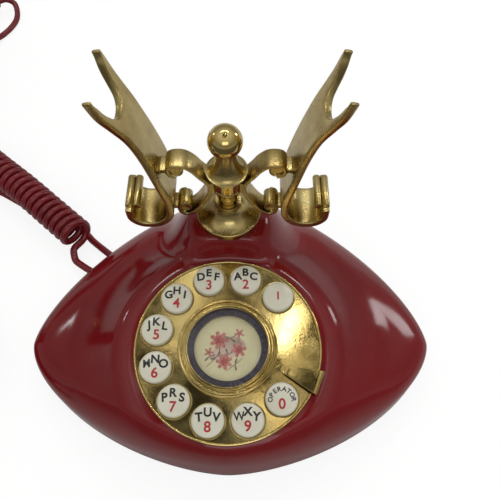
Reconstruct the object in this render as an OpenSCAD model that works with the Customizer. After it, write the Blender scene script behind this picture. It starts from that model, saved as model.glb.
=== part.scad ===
// Ornamental desk telephone with a lens-shaped plastic body, a fixed gilt dial
// plate that carries ten push keys, a sprung gilt cradle and a corded handset.
// Millimetres. +Z is up, the origin is on the table under the line that joins
// the two side tips of the body, and -Y is the side that the user sits at.

/* [Body] */
// Half width of the body, from its middle to a side tip
body_half_w = 90; // [84:1:96]
// Depth of the body in front of the line through its tips
body_front = 55; // [54.5:0.5:60]
// Depth of the body behind the line through its tips
body_rear = 78; // [76:1:86]
// Thickness of the moulded shell
shell_wall = 2.5; // [2:0.1:3]
// Height of the upright band round the foot of the shell at the sides and rear
band_h = 13.5; // [11.5:0.5:14.5]
// Height of the upright front wall below the dial
front_band_h = 21; // [18:1:25]
// Height of the pillow-shaped wings where they meet the dial boss
wing_h = 33; // [30:1:36]
// Thickness of the felt pad under the base
pad_t = 2; // [1.5:0.5:3]
// Thickness of the steel base plate
base_t = 2; // [1.5:0.5:2.5]

/* [Dial] */
// Radius of the gilt dial plate
dial_r = 38; // [36.5:0.5:39]
// Thickness of the gilt dial plate
dial_t = 1.2; // [1:0.1:1.6]
// Height of the middle of the dial plate above the table
dial_z = 44.2; // [43:0.2:46]
// Distance of the middle of the dial plate in front of the tip line
dial_front = 13; // [13:0.2:14]
// Forward tilt of the dial plate
dial_tilt = 6; // [5:0.5:7]
// Outer radius of the bezel round the picture
bezel_r = 20.2; // [19:0.2:20.4]
// Height of the bezel above the dial plate
bezel_h = 2.2; // [2:0.1:2.6]

/* [Keys] */
// Radius of the ring that the keys stand on
key_ring_r = 29.7; // [29.4:0.1:29.8]
// Radius of a key cap
key_r = 6.4; // [6:0.1:6.5]
// Height of a key's domed top above the plate
key_h = 3; // [2.5:0.1:3.5]
// Travel of a key
key_travel = 1.5; // [1:0.1:1.8]
// Gap all round a key in its hole
key_gap = 0.15; // [0.1:0.05:0.25]

/* [Cradle] */
// Distance of the cradle post behind the tip line
cradle_y = 42; // [40:0.5:44]
// Radius of the cradle post
post_r = 3.5; // [3:0.1:4]
// Running gap all round the post in its bearings
post_gap = 0.06; // [0.04:0.01:0.08]
// Travel of the cradle when the handset is put down
cradle_travel = 3; // [2:0.5:3]
// Thickness of the gilt arms
arm_t = 3; // [2.6:0.1:3.2]
// Half breadth of an arm's stem
arm_half_b = 9; // [8.5:0.5:9.5]
// Half breadth of an arm over its two prongs
fork_half_b = 12.2; // [12:0.2:13.4]
// Radius of the ball at the top of the finial
ball_r = 6.55; // [6:0.05:6.8]
// Radius of the dished disc under the ball
disc_r = 8.4; // [7.8:0.1:8.8]
// Radius of the rim of the fixed bell under the cradle
bell_r = 13.4; // [13:0.1:13.8]

/* [Handset] */
// Distance between the middles of the two cups
cup_span = 178; // [170:1:190]
// Radius of a cup at its mouth
cup_r = 24; // [22:0.5:25]
// Height of the handle's axis above the table
handle_z = 40; // [38:1:44]
// Radius of the handle at its middle
handle_r = 9; // [8:0.5:10]

/* [Cords] */
// Diameter of the curly cord's strand and of the line cord
cord_d = 3.6; // [3.4:0.1:3.8]
// Outer diameter of the curls
curl_d = 17; // [16:0.5:17.5]

/* [Hidden] */
$fn = 48;
eps = 0.01;

// Body
front_power = 1.65;
rear_power = 1.52;
wing_power = 1.3;
wing_tip_h = 19;
wing_roll = 16;
wing_blend = 12;
neck_blend = 8;
front_roll = 4;
boss_flat = dial_r + 1.4;
boss_shoulder = 14;
boss_slope = 0.85;
seat_blend = 6;
neck_r = 13;
neck_z = 57;
neck_foot_z = 19;
neck_flare = 18;
shell_z = pad_t;
base_top = pad_t + base_t;
base_gap = 0.4;
shell_sides = 64;
shell_rings = 12;
screw_xy = [
    [22 - body_half_w, -14], [body_half_w - 22, -14],
    [32 - body_half_w, 34], [body_half_w - 32, 34]
];
screw_r = 1.5;
boss_r = 4.2;

// Dial stack, measured along the dial's own axis from the face of the plate
key_places = 12;
key_count = 10;
first_key_angle = 46;
opening_r = dial_r - 1.4;
flange_h = 0.6;
key_ear_t = 1.2;
key_ear_drop = 0.15;
key_ear_len = 2;
key_ear_w = 6;
key_ear_room = key_ear_drop + key_ear_t + key_travel + 0.15;
stem_r = 3;
frame_h = 6.2;
mat_t = 0.8;
board_t = 1.6;
mat_top = -dial_t - frame_h;
stem_end = mat_top - 0.1;
dome_top = stem_end - key_travel - 0.1;
mat_base = dome_top - 0.8;
board_top = mat_base - mat_t;
board_base = board_top - board_t;
opening_bezel_r = 16.7;
lens_t = 0.6;
lens_top = bezel_h - 0.6;
lens_r = opening_bezel_r - 0.1;
picture_r = 13.6;
card_t = 0.4;
stud_r = 1.5;
stud_gap = 0.2;
stud_angles = [0, 120, 240];
stud_ring_r = 17.8;

// Finger stop
stop_angle = -22;
stop_tip_r = 22;
stop_rise = 3.3;
stop_t = 1;
stop_fold_r = dial_r + 1.9;
stop_half_w = 4.9;

// Cradle
guide_top = 50;
guide_r = 9;
cavity_r = 7;
collar_top = 36;
collar_h = 4;
collar_r = 6.6;
peg_reach = 12.5;
peg_w = 3;
post_end = 24;
spring_coil_r = 5.2;
spring_wire_r = 0.45;
spring_turns = 7;
bell_top = 70;
bell_rim_z = 61.8;
bell_neck_r = 5.5;
bell_spigot_r = 8;
spigot_gap = 0.2;
waist_top = 77;
ball_z = 106.3;
disc_z = 89.4;
flare_neck_r = 4;
finial_top = ball_z - 0.78 * ball_r;
scroll_half_b = 4.3;
scroll_t = 2;
notch_half_w = 10.9;
notch_z = 121.6;
prong_z = 137.5;
bead_r = 1.6;
bead_half = 7.5;

// Hook switch
lever_pivot_y = 14;
lever_pivot_z = 31.2;
switch_z = 18;
switch_h = 9.5;
shelf_t = 2;
pin_r = 1;
pin_gap = 0.05;
lever_w = 4;
lever_gap = 0.3;

// Ringer and network
gong_xy = [-50, 8];
gong_r = 17;
gong_z = 7;
gong_h = 9;
gong_wall = 1.2;
gong_post_r = 1.9;
ringer_corner = [-53, 2];
ringer_w = 25;
ringer_depth = 37;
ringer_y = 33;
ringer_axis_z = 12;
ringer_coil_r = 5.4;
clapper_len = 9;
clapper_turn = 150;
clapper_pivot = [-32.8, 19.8, 10];
board_xy = [body_half_w - 45, 8];
board_w = 36;
board_z = base_top + 3;

// Handset, drawn about the middle of the handle and then laid down
handset_at = [-190, 139, 0];
handset_turn = -4;
cup_h = 27;
handle_half = 58;
ferrule_r = 8.2;
ferrule_len = 11;
hub_r = 9.6;
neck_bar_r = 6;
gland_turn = 41;
gland_len = 8;
gland_r = 3.4;
gland_bore_r = 2.6;

// Cords
exit_z = 6.5;
line_exit_angle = 141;
tail_exit_angle = 150;
grommet_r = 3.6;
grommet_len = 3;
cord_r = cord_d / 2;
curl_r = curl_d / 2;
cord_sides = 8;
curl_sides = 12;
tail_base_route = [
    [-70.3, 41.5, 6.5], [-76.5, 46, 5.2], [-80.5, 49.5, 4.6], [-82, 54, 5.4], [-81, 58, 7.2]
];
curl_route = [
    [-79, 60, 12.4], [-95, 74, 12.4], [-112, 89, 12.4], [-129, 103, 12.2], [-142, 115, 10.6],
    [-155, 131, 9], [-165, 150, 8.8], [-169, 170, 8.8], [-169, 188, 8.8], [-165, 204, 8.8]
];
tail_handset_route = [
    [-163.5, 207, 6.5], [-159.5, 213, 3.6], [-154.5, 220, 2.1], [-150, 228, 2], [-148, 236, 2],
    [-148.5, 243, 3.2], [-151, 248.5, 5.4], [-156, 249.3, 7.4], [-159.5, 246.1, 8]
];
line_route = [
    [-61.7, 50.8, 6.5], [-68, 56.6, 4.6], [-74, 62.5, 2.4], [-80, 68.5, 1.9], [-95, 76.5, 1.9],
    [-113, 84.8, 1.9], [-130, 94.5, 1.9], [-140, 96, 1.9], [-148, 90, 1.9], [-152, 78, 1.9],
    [-154, 60, 1.9], [-157, 40, 1.9], [-160, 25, 1.9], [-162, 18, 2.5]
];
line_end_route = [[-152, -34.5, 2.5], [-146, -37.5, 2.5], [-140, -39.5, 3.3], [-136, -40, 3.3]];
coil_at = [-144, -6];
coil_mid_r = 21.5;
coil_side = 14.6;
plug_at = [-136, -40];
plug_len = 20;
plug_w = 11.6;
plug_h = 6.6;

// ---------------------------------------------------------------- helpers

// Radius of the body's plan at an angle, for a plan shrunk by "inset"
function plan_r(a, inset = 0) =
    let (
        front = sin(a) < 0,
        depth = front ? body_front : body_rear,
        power = front ? front_power : rear_power
    )
    1 / pow(pow(abs(cos(a)) / body_half_w, power) + pow(abs(sin(a)) / depth, power), 1 / power)
        - inset;

function plan_pt(a, inset = 0) = plan_r(a, inset) * [cos(a), sin(a)];

// Angle of the outward normal of the plan at an angle
function plan_normal(a) =
    let (step = 0.5, along = plan_pt(a + step) - plan_pt(a - step))
    atan2(-along[0], along[1]);

// Larger of two heights, blended over a band "k" high
function blend_max(a, b, k) =
    let (h = max(k - abs(a - b), 0) / k) max(a, b) + h * h * k / 4;

function smooth_step(s) = let (c = min(max(s, 0), 1)) c * c * (3 - 2 * c);

function dial_plane(y) = dial_z - dial_t / cos(dial_tilt) + tan(dial_tilt) * (y + dial_front);

// How far the boss has fallen "u" mm outside its flat: an arc, then a straight slope
function shoulder_drop(u) =
    let (arc_end = boss_shoulder * sin(atan(boss_slope)), on_arc = min(max(u, 0), arc_end))
    boss_shoulder - sqrt(boss_shoulder * boss_shoulder - on_arc * on_arc)
        + boss_slope * max(u - arc_end, 0);

// Distance of a point from the middle of the dial, along the dial's face
function dial_reach(x, y) = norm([x, (y + dial_front) / cos(dial_tilt)]);

function boss_z(x, y) = dial_plane(y) - shoulder_drop(dial_reach(x, y) - boss_flat);

function neck_mound_z(x, y) =
    let (out = max(norm([x, y - cradle_y]) - neck_r, 0) / neck_flare)
    neck_foot_z + (neck_z - neck_foot_z) * exp(-out * out);

function wing_z(x) = wing_tip_h + (wing_h - wing_tip_h) * (1 - pow(abs(x) / body_half_w, wing_power));

// How much a direction faces the front, from 0 to 1
function frontness(a) = pow(max(-sin(a), 0), 8);

// Height of the top of the body at "u" mm inside the plan's edge
function top_z(x, y, a, u) =
    let (
        roll = wing_roll + (front_roll - wing_roll) * frontness(a),
        band = band_h + (front_band_h - band_h) * frontness(a),
        past_seat = smooth_step((dial_reach(x, y) - boss_flat) / seat_blend),
        soft = blend_max(blend_max(wing_z(x), boss_z(x, y), wing_blend), neck_mound_z(x, y), neck_blend),
        crown = boss_z(x, y) + (soft - boss_z(x, y)) * past_seat,
        share = u >= roll ? 1 : sqrt(max(1 - pow(1 - u / roll, 2), 0))
    )
    min(crown, band + (crown - band) * share);

// Ring "i" of the shell's skin, from the dial boss out to the plan's edge
function ring_share(i) = let (s = i / shell_rings) 1 - pow(1 - s, 1.6);

function skin_pt(a, i, inset, drop) =
    let (
        s = ring_share(i),
        edge = plan_pt(a, inset),
        start = [0, -dial_front] + (boss_flat - inset) * [cos(a), sin(a) * cos(dial_tilt)],
        p = start + s * (edge - start),
        u = norm(edge - p)
    )
    [p[0], p[1], top_z(p[0], p[1], a, u) - drop];

function ring_angles() = [for (k = [0 : shell_sides - 1]) (k + 0.5) * 360 / shell_sides];

function skin_points(inset, drop, low) = [
    [0, -dial_front, dial_plane(-dial_front) - drop],
    for (i = [0 : shell_rings]) for (a = ring_angles()) skin_pt(a, i, inset, drop),
    for (a = ring_angles()) [plan_pt(a, inset)[0], plan_pt(a, inset)[1], low]
];

// Faces of one skin whose points start at index "b"; "flip" turns them inward
function skin_faces(b, flip) =
    let (n = shell_sides, rows = shell_rings + 1)
    [
        for (k = [0 : n - 1]) turned([b, b + 1 + (k + 1) % n, b + 1 + k], flip),
        for (i = [0 : rows - 1]) for (k = [0 : n - 1]) each [
            turned([b + 1 + i * n + k, b + 1 + i * n + (k + 1) % n, b + 1 + (i + 1) * n + k], flip),
            turned([b + 1 + i * n + (k + 1) % n, b + 1 + (i + 1) * n + (k + 1) % n,
                b + 1 + (i + 1) * n + k], flip)
        ]
    ];

function turned(f, flip) = flip ? [f[2], f[1], f[0]] : f;

// Places pieces in the dial's own frame, with the plate's face at z = 0
module on_dial() {
    translate([0, -dial_front, dial_z]) rotate([dial_tilt, 0, 0]) children();
}

module at_cradle() {
    translate([0, cradle_y, 0]) children();
}

module on_handset() {
    translate(handset_at) rotate([0, 0, handset_turn]) children();
}

function key_angle(i) = first_key_angle + i * 360 / key_places;

// A round bar swept along a route, with a ring of sides at each point
module swept(route, r, sides) {
    n = len(route);
    points = [
        for (i = [0 : n - 1])
            let (
                ahead = route[min(i + 1, n - 1)] - route[max(i - 1, 0)],
                t = ahead / norm(ahead),
                side = cross(t, [0, 0, 1]) / norm(cross(t, [0, 0, 1])),
                up = cross(side, t)
            )
            for (k = [0 : sides - 1])
                route[i] + r * (cos(360 * k / sides) * side + sin(360 * k / sides) * up)
    ];
    faces = [
        [for (k = [0 : sides - 1]) k],
        for (i = [0 : n - 2]) for (k = [0 : sides - 1]) each [
            [i * sides + k, (i + 1) * sides + k, (i + 1) * sides + (k + 1) % sides],
            [i * sides + k, (i + 1) * sides + (k + 1) % sides, i * sides + (k + 1) % sides]
        ],
        [for (k = [sides - 1 : -1 : 0]) (n - 1) * sides + k]
    ];
    polyhedron(points, faces, convexity = 6);
}

// Points of a smooth line through a route, "steps" to each stretch
function smooth(route, steps) = [
    for (i = [0 : len(route) - 2]) for (s = [0 : steps - 1])
        let (
            a = route[max(i - 1, 0)], b = route[i], c = route[i + 1],
            d = route[min(i + 2, len(route) - 1)], t = s / steps
        )
        0.5 * (2 * b + (c - a) * t + (2 * a - 5 * b + 4 * c - d) * t * t
            + (3 * b - a - 3 * c + d) * t * t * t),
    route[len(route) - 1]
];

// A flat ribbon of thickness "t" that follows a line of points
module ribbon(line, t) {
    n = len(line);
    normals = [
        for (i = [0 : n - 1])
            let (v = line[min(i + 1, n - 1)] - line[max(i - 1, 0)])
            [-v[1], v[0]] / norm(v)
    ];
    polygon([
        for (i = [0 : n - 1]) line[i] + normals[i] * t / 2,
        for (i = [n - 1 : -1 : 0]) line[i] - normals[i] * t / 2
    ]);
}

// ---------------------------------------------------------------- body

module body_shell() {
    color([0.49, 0.11, 0.12]) difference() {
        union() {
            shell_skin();
            for (p = screw_xy) translate([p[0], p[1], base_top]) cylinder(r = boss_r, h = boss_h(p));
        }
        on_dial() translate([0, 0, -30]) cylinder(r = opening_r, h = 40, $fn = 96);
        at_cradle() translate([0, 0, neck_z - 12]) cylinder(r = bell_spigot_r + spigot_gap, h = 20);
        for (p = screw_xy) translate([p[0], p[1], base_top - 1]) cylinder(r = screw_r, h = 9);
        cord_hole(line_exit_angle);
        cord_hole(tail_exit_angle);
    }
}

// Height of a screw boss that ends in the middle of the shell's wall
function boss_h(p) =
    top_z(p[0], p[1], atan2(p[1], p[0]), plan_r(atan2(p[1], p[0])) - norm(p))
        - shell_wall / 2 - base_top;

module shell_skin() {
    outer = skin_points(0, 0, shell_z);
    inner = skin_points(shell_wall, shell_wall, shell_z);
    n = shell_sides;
    count = len(outer);
    last = count - n;
    rim = [
        for (k = [0 : n - 1]) each [
            [last + k, last + (k + 1) % n, count + last + k],
            [last + (k + 1) % n, count + last + (k + 1) % n, count + last + k]
        ]
    ];
    polyhedron(
        concat(outer, inner), concat(skin_faces(0, false), skin_faces(count, true), rim), convexity = 8
    );
}

module cord_hole(a) {
    at_exit(a) translate([0, 0, -8]) cylinder(r = cord_r + 0.8, h = 16);
}

// Places pieces at a cord exit, with z along the outward normal
module at_exit(a) {
    translate([plan_pt(a)[0], plan_pt(a)[1], exit_z]) rotate([0, 90, plan_normal(a)]) children();
}

module plan_plate(inset) {
    polygon([for (a = ring_angles()) plan_pt(a, inset)]);
}

module base_pad() {
    color([0.12, 0.11, 0.11]) linear_extrude(pad_t) plan_plate(1.2);
}

module base_plate() {
    color([0.55, 0.56, 0.58]) difference() {
        union() {
            translate([0, 0, pad_t]) linear_extrude(base_t) plan_plate(shell_wall + base_gap);
            for (p = board_posts()) translate([p[0], p[1], base_top - eps])
                cylinder(r = 2.5, h = board_z - base_top + eps);
        }
        for (p = screw_xy) translate([p[0], p[1], pad_t - 1]) {
            cylinder(r = screw_r + 0.2, h = 6);
            cylinder(r = 3.2, h = 2);
        }
    }
}

function board_posts() = [
    for (sx = [-1, 1]) for (sy = [-1, 1])
        [board_xy[0] + sx * (board_w / 2 - 5), board_xy[1] + sy * (board_w / 2 - 5)]
];

module base_screws() {
    color([0.6, 0.6, 0.62]) for (p = screw_xy) translate([p[0], p[1], pad_t]) {
        cylinder(r = 3, h = 1);
        cylinder(r = screw_r - 0.05, h = 9);
    }
}

// ---------------------------------------------------------------- dial

module dial_plate() {
    color([0.8, 0.66, 0.34]) on_dial() difference() {
        union() {
            translate([0, 0, -dial_t]) cylinder(r = dial_r, h = dial_t, $fn = 96);
            rotate_extrude($fn = 96) polygon([
                [dial_r - 1.5, -0.1], [dial_r - 1.1, flange_h], [dial_r - 0.3, flange_h],
                [dial_r, flange_h - 0.3], [dial_r, -0.1]
            ]);
            for (a = stud_angles) rotate(a) translate([stud_ring_r, 0, board_base - 3])
                cylinder(r = stud_r, h = -board_base + 3 - dial_t / 2);
        }
        translate([0, 0, -dial_t - 1]) cylinder(r = opening_bezel_r + 0.2, h = dial_t + 2);
        for (i = [0 : key_count - 1]) rotate(key_angle(i)) translate([key_ring_r, 0, -dial_t - 1])
            cylinder(r = key_r + key_gap, h = dial_t + 2);
    }
}

module finger_stop() {
    color([0.8, 0.66, 0.34]) on_dial() rotate(stop_angle) intersection() {
        translate([0, 0, -5]) linear_extrude(15) polygon([
            [stop_tip_r, -0.8], [stop_tip_r, 0.8], [stop_fold_r - 1, stop_half_w],
            [stop_fold_r + 1.2, stop_half_w], [stop_fold_r + 1.2, -stop_half_w],
            [stop_fold_r - 1, -stop_half_w]
        ]);
        translate([0, stop_half_w + 1, 0]) rotate([90, 0, 0]) linear_extrude(2 * stop_half_w + 2)
            polygon([
                [stop_tip_r - 1, 0], [stop_tip_r + 1.6, 0], [stop_tip_r + 4, stop_rise - 1.2],
                [stop_fold_r - 0.9, stop_rise], [stop_fold_r, stop_rise - 0.6],
                [stop_fold_r, -dial_t], [stop_fold_r + stop_t, -dial_t],
                [stop_fold_r + stop_t, stop_rise + 0.2], [stop_fold_r - 0.2, stop_rise + stop_t],
                [stop_tip_r + 3.2, stop_rise - 0.2], [stop_tip_r - 1, 0.8]
            ]);
    }
}

module medallion_bezel() {
    color([0.82, 0.68, 0.36]) on_dial() rotate_extrude($fn = 96) polygon([
        [opening_bezel_r, 0], [bezel_r, 0], [bezel_r, bezel_h - 0.9], [bezel_r - 0.4, bezel_h - 0.5],
        [bezel_r - 1.1, bezel_h - 0.5], [bezel_r - 1.4, bezel_h - 0.2], [bezel_r - 1.7, bezel_h - 0.9],
        [bezel_r - 2.5, bezel_h - 0.9], [bezel_r - 2.8, bezel_h], [opening_bezel_r - 0.5, bezel_h],
        [opening_bezel_r - 0.5, bezel_h - 0.6], [opening_bezel_r, bezel_h - 0.6]
    ]);
}

module medallion_lens() {
    color([0.85, 0.9, 0.9, 0.4]) on_dial() translate([0, 0, lens_top - lens_t])
        cylinder(r = lens_r, h = lens_t, $fn = 96);
}

module medallion_spacer() {
    color([0.29, 0.27, 0.31]) on_dial() difference() {
        translate([0, 0, card_t - dial_t])
            cylinder(r = lens_r, h = lens_top - lens_t - card_t + dial_t, $fn = 96);
        translate([0, 0, -dial_t]) cylinder(r = picture_r, h = 5, $fn = 96);
    }
}

module picture_card() {
    color([0.86, 0.84, 0.65]) on_dial() translate([0, 0, -dial_t])
        cylinder(r = lens_r, h = card_t, $fn = 96);
}

module key_frame() {
    color([0.1, 0.1, 0.11]) on_dial() difference() {
        translate([0, 0, mat_top]) cylinder(r = opening_r - 0.2, h = frame_h, $fn = 96);
        for (i = [0 : key_count - 1]) rotate(key_angle(i)) translate([key_ring_r, 0, 0]) {
            translate([0, 0, mat_top - 1]) cylinder(r = key_r + key_gap, h = frame_h + 2);
            translate([-key_r - key_ear_len - key_gap, -key_ear_w / 2 - key_gap, -dial_t - key_ear_room])
                cube([key_r + key_ear_len + key_gap, key_ear_w + 2 * key_gap, key_ear_room + 1]);
        }
        for (a = stud_angles) rotate(a) translate([stud_ring_r, 0, mat_top - 1])
            cylinder(r = stud_r + stud_gap, h = frame_h + 2);
    }
}

// One push key, lying in its place in the ring
module digit_key(i) {
    color([0.85, 0.84, 0.75]) on_dial() rotate(key_angle(i)) translate([key_ring_r, 0, 0]) {
        rotate_extrude() polygon([
            [0, -dial_t - key_ear_drop - key_ear_t], [key_r, -dial_t - key_ear_drop - key_ear_t],
            [key_r, key_h - 1.3],
            for (a = [10 : 16 : 90]) [key_r - 0.9 + 0.9 * cos(a), key_h - 1.3 + 0.9 * sin(a)],
            [key_r * 0.6, key_h - 0.15], [key_r * 0.3, key_h - 0.03], [0, key_h]
        ]);
        translate([-key_r - key_ear_len, -key_ear_w / 2, -dial_t - key_ear_drop - key_ear_t])
            cube([key_r + key_ear_len, key_ear_w, key_ear_t]);
        translate([0, 0, stem_end]) cylinder(r = stem_r, h = -stem_end - 2);
    }
}

module key_1() { digit_key(0); }
module key_2() { digit_key(1); }
module key_3() { digit_key(2); }
module key_4() { digit_key(3); }
module key_5() { digit_key(4); }
module key_6() { digit_key(5); }
module key_7() { digit_key(6); }
module key_8() { digit_key(7); }
module key_9() { digit_key(8); }
module key_0() { digit_key(9); }

module dome_mat() {
    color([0.75, 0.75, 0.72]) on_dial() difference() {
        union() {
            translate([0, 0, board_top]) cylinder(r = opening_r - 0.6, h = mat_t, $fn = 96);
            translate([0, 0, board_top]) ring(opening_r - 0.6, opening_r - 1.4, mat_top - board_top);
            translate([0, 0, board_top]) ring(16, 10, mat_top - board_top);
            for (i = [0 : key_count - 1]) rotate(key_angle(i)) translate([key_ring_r, 0, mat_base - eps])
                cylinder(r1 = 4, r2 = 2.6, h = dome_top - mat_base + eps);
        }
        for (a = stud_angles) rotate(a) translate([stud_ring_r, 0, board_top - 1])
            cylinder(r = stud_r + stud_gap, h = 8);
    }
}

module ring(outer, inner, h) {
    difference() {
        cylinder(r = outer, h = h, $fn = 96);
        translate([0, 0, -1]) cylinder(r = inner, h = h + 2, $fn = 96);
    }
}

module key_board() {
    color([0.2, 0.4, 0.22]) on_dial() difference() {
        translate([0, 0, board_base]) cylinder(r = opening_r - 0.6, h = board_t, $fn = 96);
        for (a = stud_angles) rotate(a) translate([stud_ring_r, 0, board_base - 1])
            cylinder(r = stud_r + stud_gap, h = board_t + 2);
    }
}

module dial_nuts() {
    color([0.6, 0.6, 0.62]) on_dial() for (a = stud_angles) rotate(a)
        translate([stud_ring_r, 0, board_base - 2]) difference() {
            cylinder(r = 3, h = 2, $fn = 6);
            translate([0, 0, -1]) cylinder(r = stud_r + 0.05, h = 4);
        }
}

// ---------------------------------------------------------------- cradle

module cradle_bell() {
    color([0.8, 0.66, 0.34]) at_cradle() difference() {
        rotate_extrude($fn = 64) polygon([
            [0, guide_top], [bell_spigot_r, guide_top], [bell_spigot_r, neck_z],
            [bell_r - 1.2, neck_z], [bell_r - 1.2, bell_rim_z - 1.4], [bell_r - 0.6, bell_rim_z - 0.7],
            [bell_r, bell_rim_z - 0.4], [bell_r, bell_rim_z],
            for (a = [0 : 10 : 90]) [
                bell_neck_r + (bell_r - 0.3 - bell_neck_r) * (1 - sin(a)),
                bell_top - (bell_top - bell_rim_z - 0.3) * cos(a)
            ],
            [0, bell_top]
        ]);
        translate([0, 0, guide_top - 1]) cylinder(r = post_r + post_gap, h = bell_top - guide_top + 2);
    }
}

module post_guide() {
    color([0.6, 0.61, 0.63]) difference() {
        union() {
            at_cradle() translate([0, 0, base_top]) cylinder(r = guide_r, h = guide_top - base_top);
            at_cradle() translate([0, 0, base_top]) cylinder(r = guide_r + 6, h = 2);
            translate([-5, 6, switch_z - shelf_t]) cube([10, cradle_y - 6, shelf_t]);
        }
        at_cradle() translate([0, 0, base_top + 2]) cylinder(r = cavity_r, h = collar_top - base_top - 2);
        at_cradle() translate([0, 0, base_top + 1]) cylinder(r = post_r + post_gap, h = guide_top);
        translate([-peg_w / 2 - 0.3, cradle_y - guide_r - 1, collar_top - collar_h - cradle_travel - 1])
            cube([peg_w + 0.6, guide_r, collar_h + cradle_travel + 1]);
    }
}

module cradle_spring() {
    base = base_top + 2 + spring_wire_r;
    top = collar_top - collar_h - spring_wire_r;
    color([0.7, 0.7, 0.72]) at_cradle() swept([
        for (i = [0 : 12 * spring_turns]) [
            spring_coil_r * cos(30 * i), spring_coil_r * sin(30 * i),
            base + (top - base) * i / (12 * spring_turns)
        ]
    ], spring_wire_r, 6);
}

module cradle_post() {
    color([0.78, 0.64, 0.33]) at_cradle() {
        translate([0, 0, post_end]) cylinder(r = post_r, h = finial_top - post_end);
    }
}

module post_collar() {
    color([0.6, 0.6, 0.62]) at_cradle() difference() {
        union() {
            translate([0, 0, collar_top - collar_h]) cylinder(r = collar_r, h = collar_h - 0.05);
            translate([-peg_w / 2, -peg_reach, collar_top - collar_h]) cube([peg_w, peg_reach, 2]);
        }
        translate([0, 0, collar_top - collar_h - 1]) cylinder(r = post_r, h = collar_h + 2);
    }
}

module waist_collar() {
    color([0.8, 0.66, 0.34]) at_cradle() difference() {
        rotate_extrude() polygon([
            [0, bell_top + cradle_travel + 0.4], [4.3, bell_top + cradle_travel + 0.4],
            [4.6, bell_top + cradle_travel + 1], [4.6, waist_top], [5.4, waist_top + 1.8],
            [6.1, waist_top + 2.3], [6.1, waist_top + 3.3], [5.8, waist_top + 3.7],
            [5.8, waist_top + 9.2], [5.2, waist_top + 10], [0, waist_top + 10]
        ]);
        translate([0, 0, bell_top]) cylinder(r = post_r, h = 30);
    }
}

module finial_disc() {
    color([0.82, 0.68, 0.36]) at_cradle() difference() {
        rotate_extrude($fn = 64) polygon([
            [0, waist_top + 10], [4.6, waist_top + 10], [5, disc_z - 1.2], [disc_r - 0.8, disc_z - 0.6],
            [disc_r, disc_z - 0.2], [disc_r, disc_z + 0.3],
            for (a = [0 : 10 : 90]) [
                flare_neck_r + (disc_r - 0.2 - flare_neck_r) * (1 - sin(a)),
                finial_top - (finial_top - disc_z - 0.5) * cos(a)
            ],
            [0, finial_top]
        ]);
        translate([0, 0, waist_top]) cylinder(r = post_r, h = 40);
    }
}

module ball_knob() {
    color([0.84, 0.7, 0.38]) at_cradle() difference() {
        translate([0, 0, ball_z]) sphere(r = ball_r);
        translate([0, 0, finial_top - 10]) cylinder(r = ball_r, h = 10);
    }
}

// Middle line of an arm, seen from the front, as [out from the axis, height]
arm_line = smooth([
    [39.3, 75.5], [38.8, 69], [34.6, 65.2], [28, 65.7], [23.5, 70.7], [22.8, 79], [24.8, 88],
    [27.4, 98], [30.2, 108], [33, 116], [36.3, 123], [39.3, 130], [41.6, 139.5]
], 4);

module arm() {
    at_cradle() {
        intersection() {
            translate([0, 20, 0]) rotate([90, 0, 0]) linear_extrude(40) ribbon(arm_line, arm_t);
            rotate([90, 0, 90]) linear_extrude(60) fork_outline();
        }
        for (x = [36.2, 39.3]) translate([x, 0, 75.5]) rotate([90, 0, 0])
            cylinder(r = bead_r, h = 2 * bead_half, center = true, $fn = 24);
    }
}

// Edges of the arm, seen from the side, as [reach from the middle, height]
arm_front_edge = [
    [arm_half_b + 0.7, 60], [arm_half_b + 0.6, 78], [arm_half_b + 0.2, 91], [arm_half_b - 0.9, 103],
    [arm_half_b - 0.9, notch_z - 8], [fork_half_b - 2.6, notch_z + 1],
    [fork_half_b - 1, notch_z + 8], [fork_half_b, prong_z - 2]
];
arm_rear_edge = [
    [arm_half_b - 0.6, 60], [arm_half_b - 0.2, 76], [arm_half_b + 1.3, 87], [arm_half_b + 2, 98],
    [arm_half_b + 2, notch_z - 10], [fork_half_b, notch_z],
    [fork_half_b + 1, notch_z + 8], [fork_half_b + 0.6, prong_z - 2.5]
];

// Half of the fork's notch, as [share of its width, share of its height]
notch_half = [
    [1, 1], [0.965, 0.87], [0.87, 0.72], [0.73, 0.41], [0.56, 0.16], [0.41, 0.07], [0.22, 0.015]
];

module fork_outline() {
    depth = prong_z - notch_z;
    notch = [for (p = notch_half) [notch_half_w * p[0], notch_z + depth * p[1]]];
    tip = [[fork_half_b - 0.1, prong_z - 0.6], [fork_half_b - 0.5, prong_z + 0.1],
        [notch_half_w + 0.5, prong_z + 0.4]];
    half = concat(tip, notch);
    count = len(half);
    polygon(concat(
        [for (p = arm_rear_edge) p],
        half,
        [for (i = [count - 1 : -1 : 0]) [-half[i][0], half[i][1]]],
        [for (i = [len(arm_front_edge) - 1 : -1 : 0]) [-arm_front_edge[i][0], arm_front_edge[i][1]]]
    ));
}

module right_arm() {
    color([0.76, 0.64, 0.36]) arm();
}

module left_arm() {
    color([0.76, 0.64, 0.36]) mirror([1, 0, 0]) arm();
}

// Middle line of the strap that carries an arm, from its upper roll to its lower one
scroll_line = smooth([
    [19.2, 90.3], [21.4, 91.2], [22.3, 93.4], [21.4, 95.6], [19.2, 96.5], [15.8, 96.1],
    [12.7, 93.4], [10.5, 90], [8.3, 87], [6.9, 84.6], [6.8, 81.4], [7.7, 77.6], [9.7, 73.2],
    [12, 69.2], [14.4, 66.4], [16.9, 65.1], [19.1, 66.3], [19.9, 69], [19.1, 71.4], [17.2, 72.2]
], 2);
upper_roll = [19.2, 93.4, 3.6];
lower_roll = [17.2, 70, 2.7];

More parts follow.
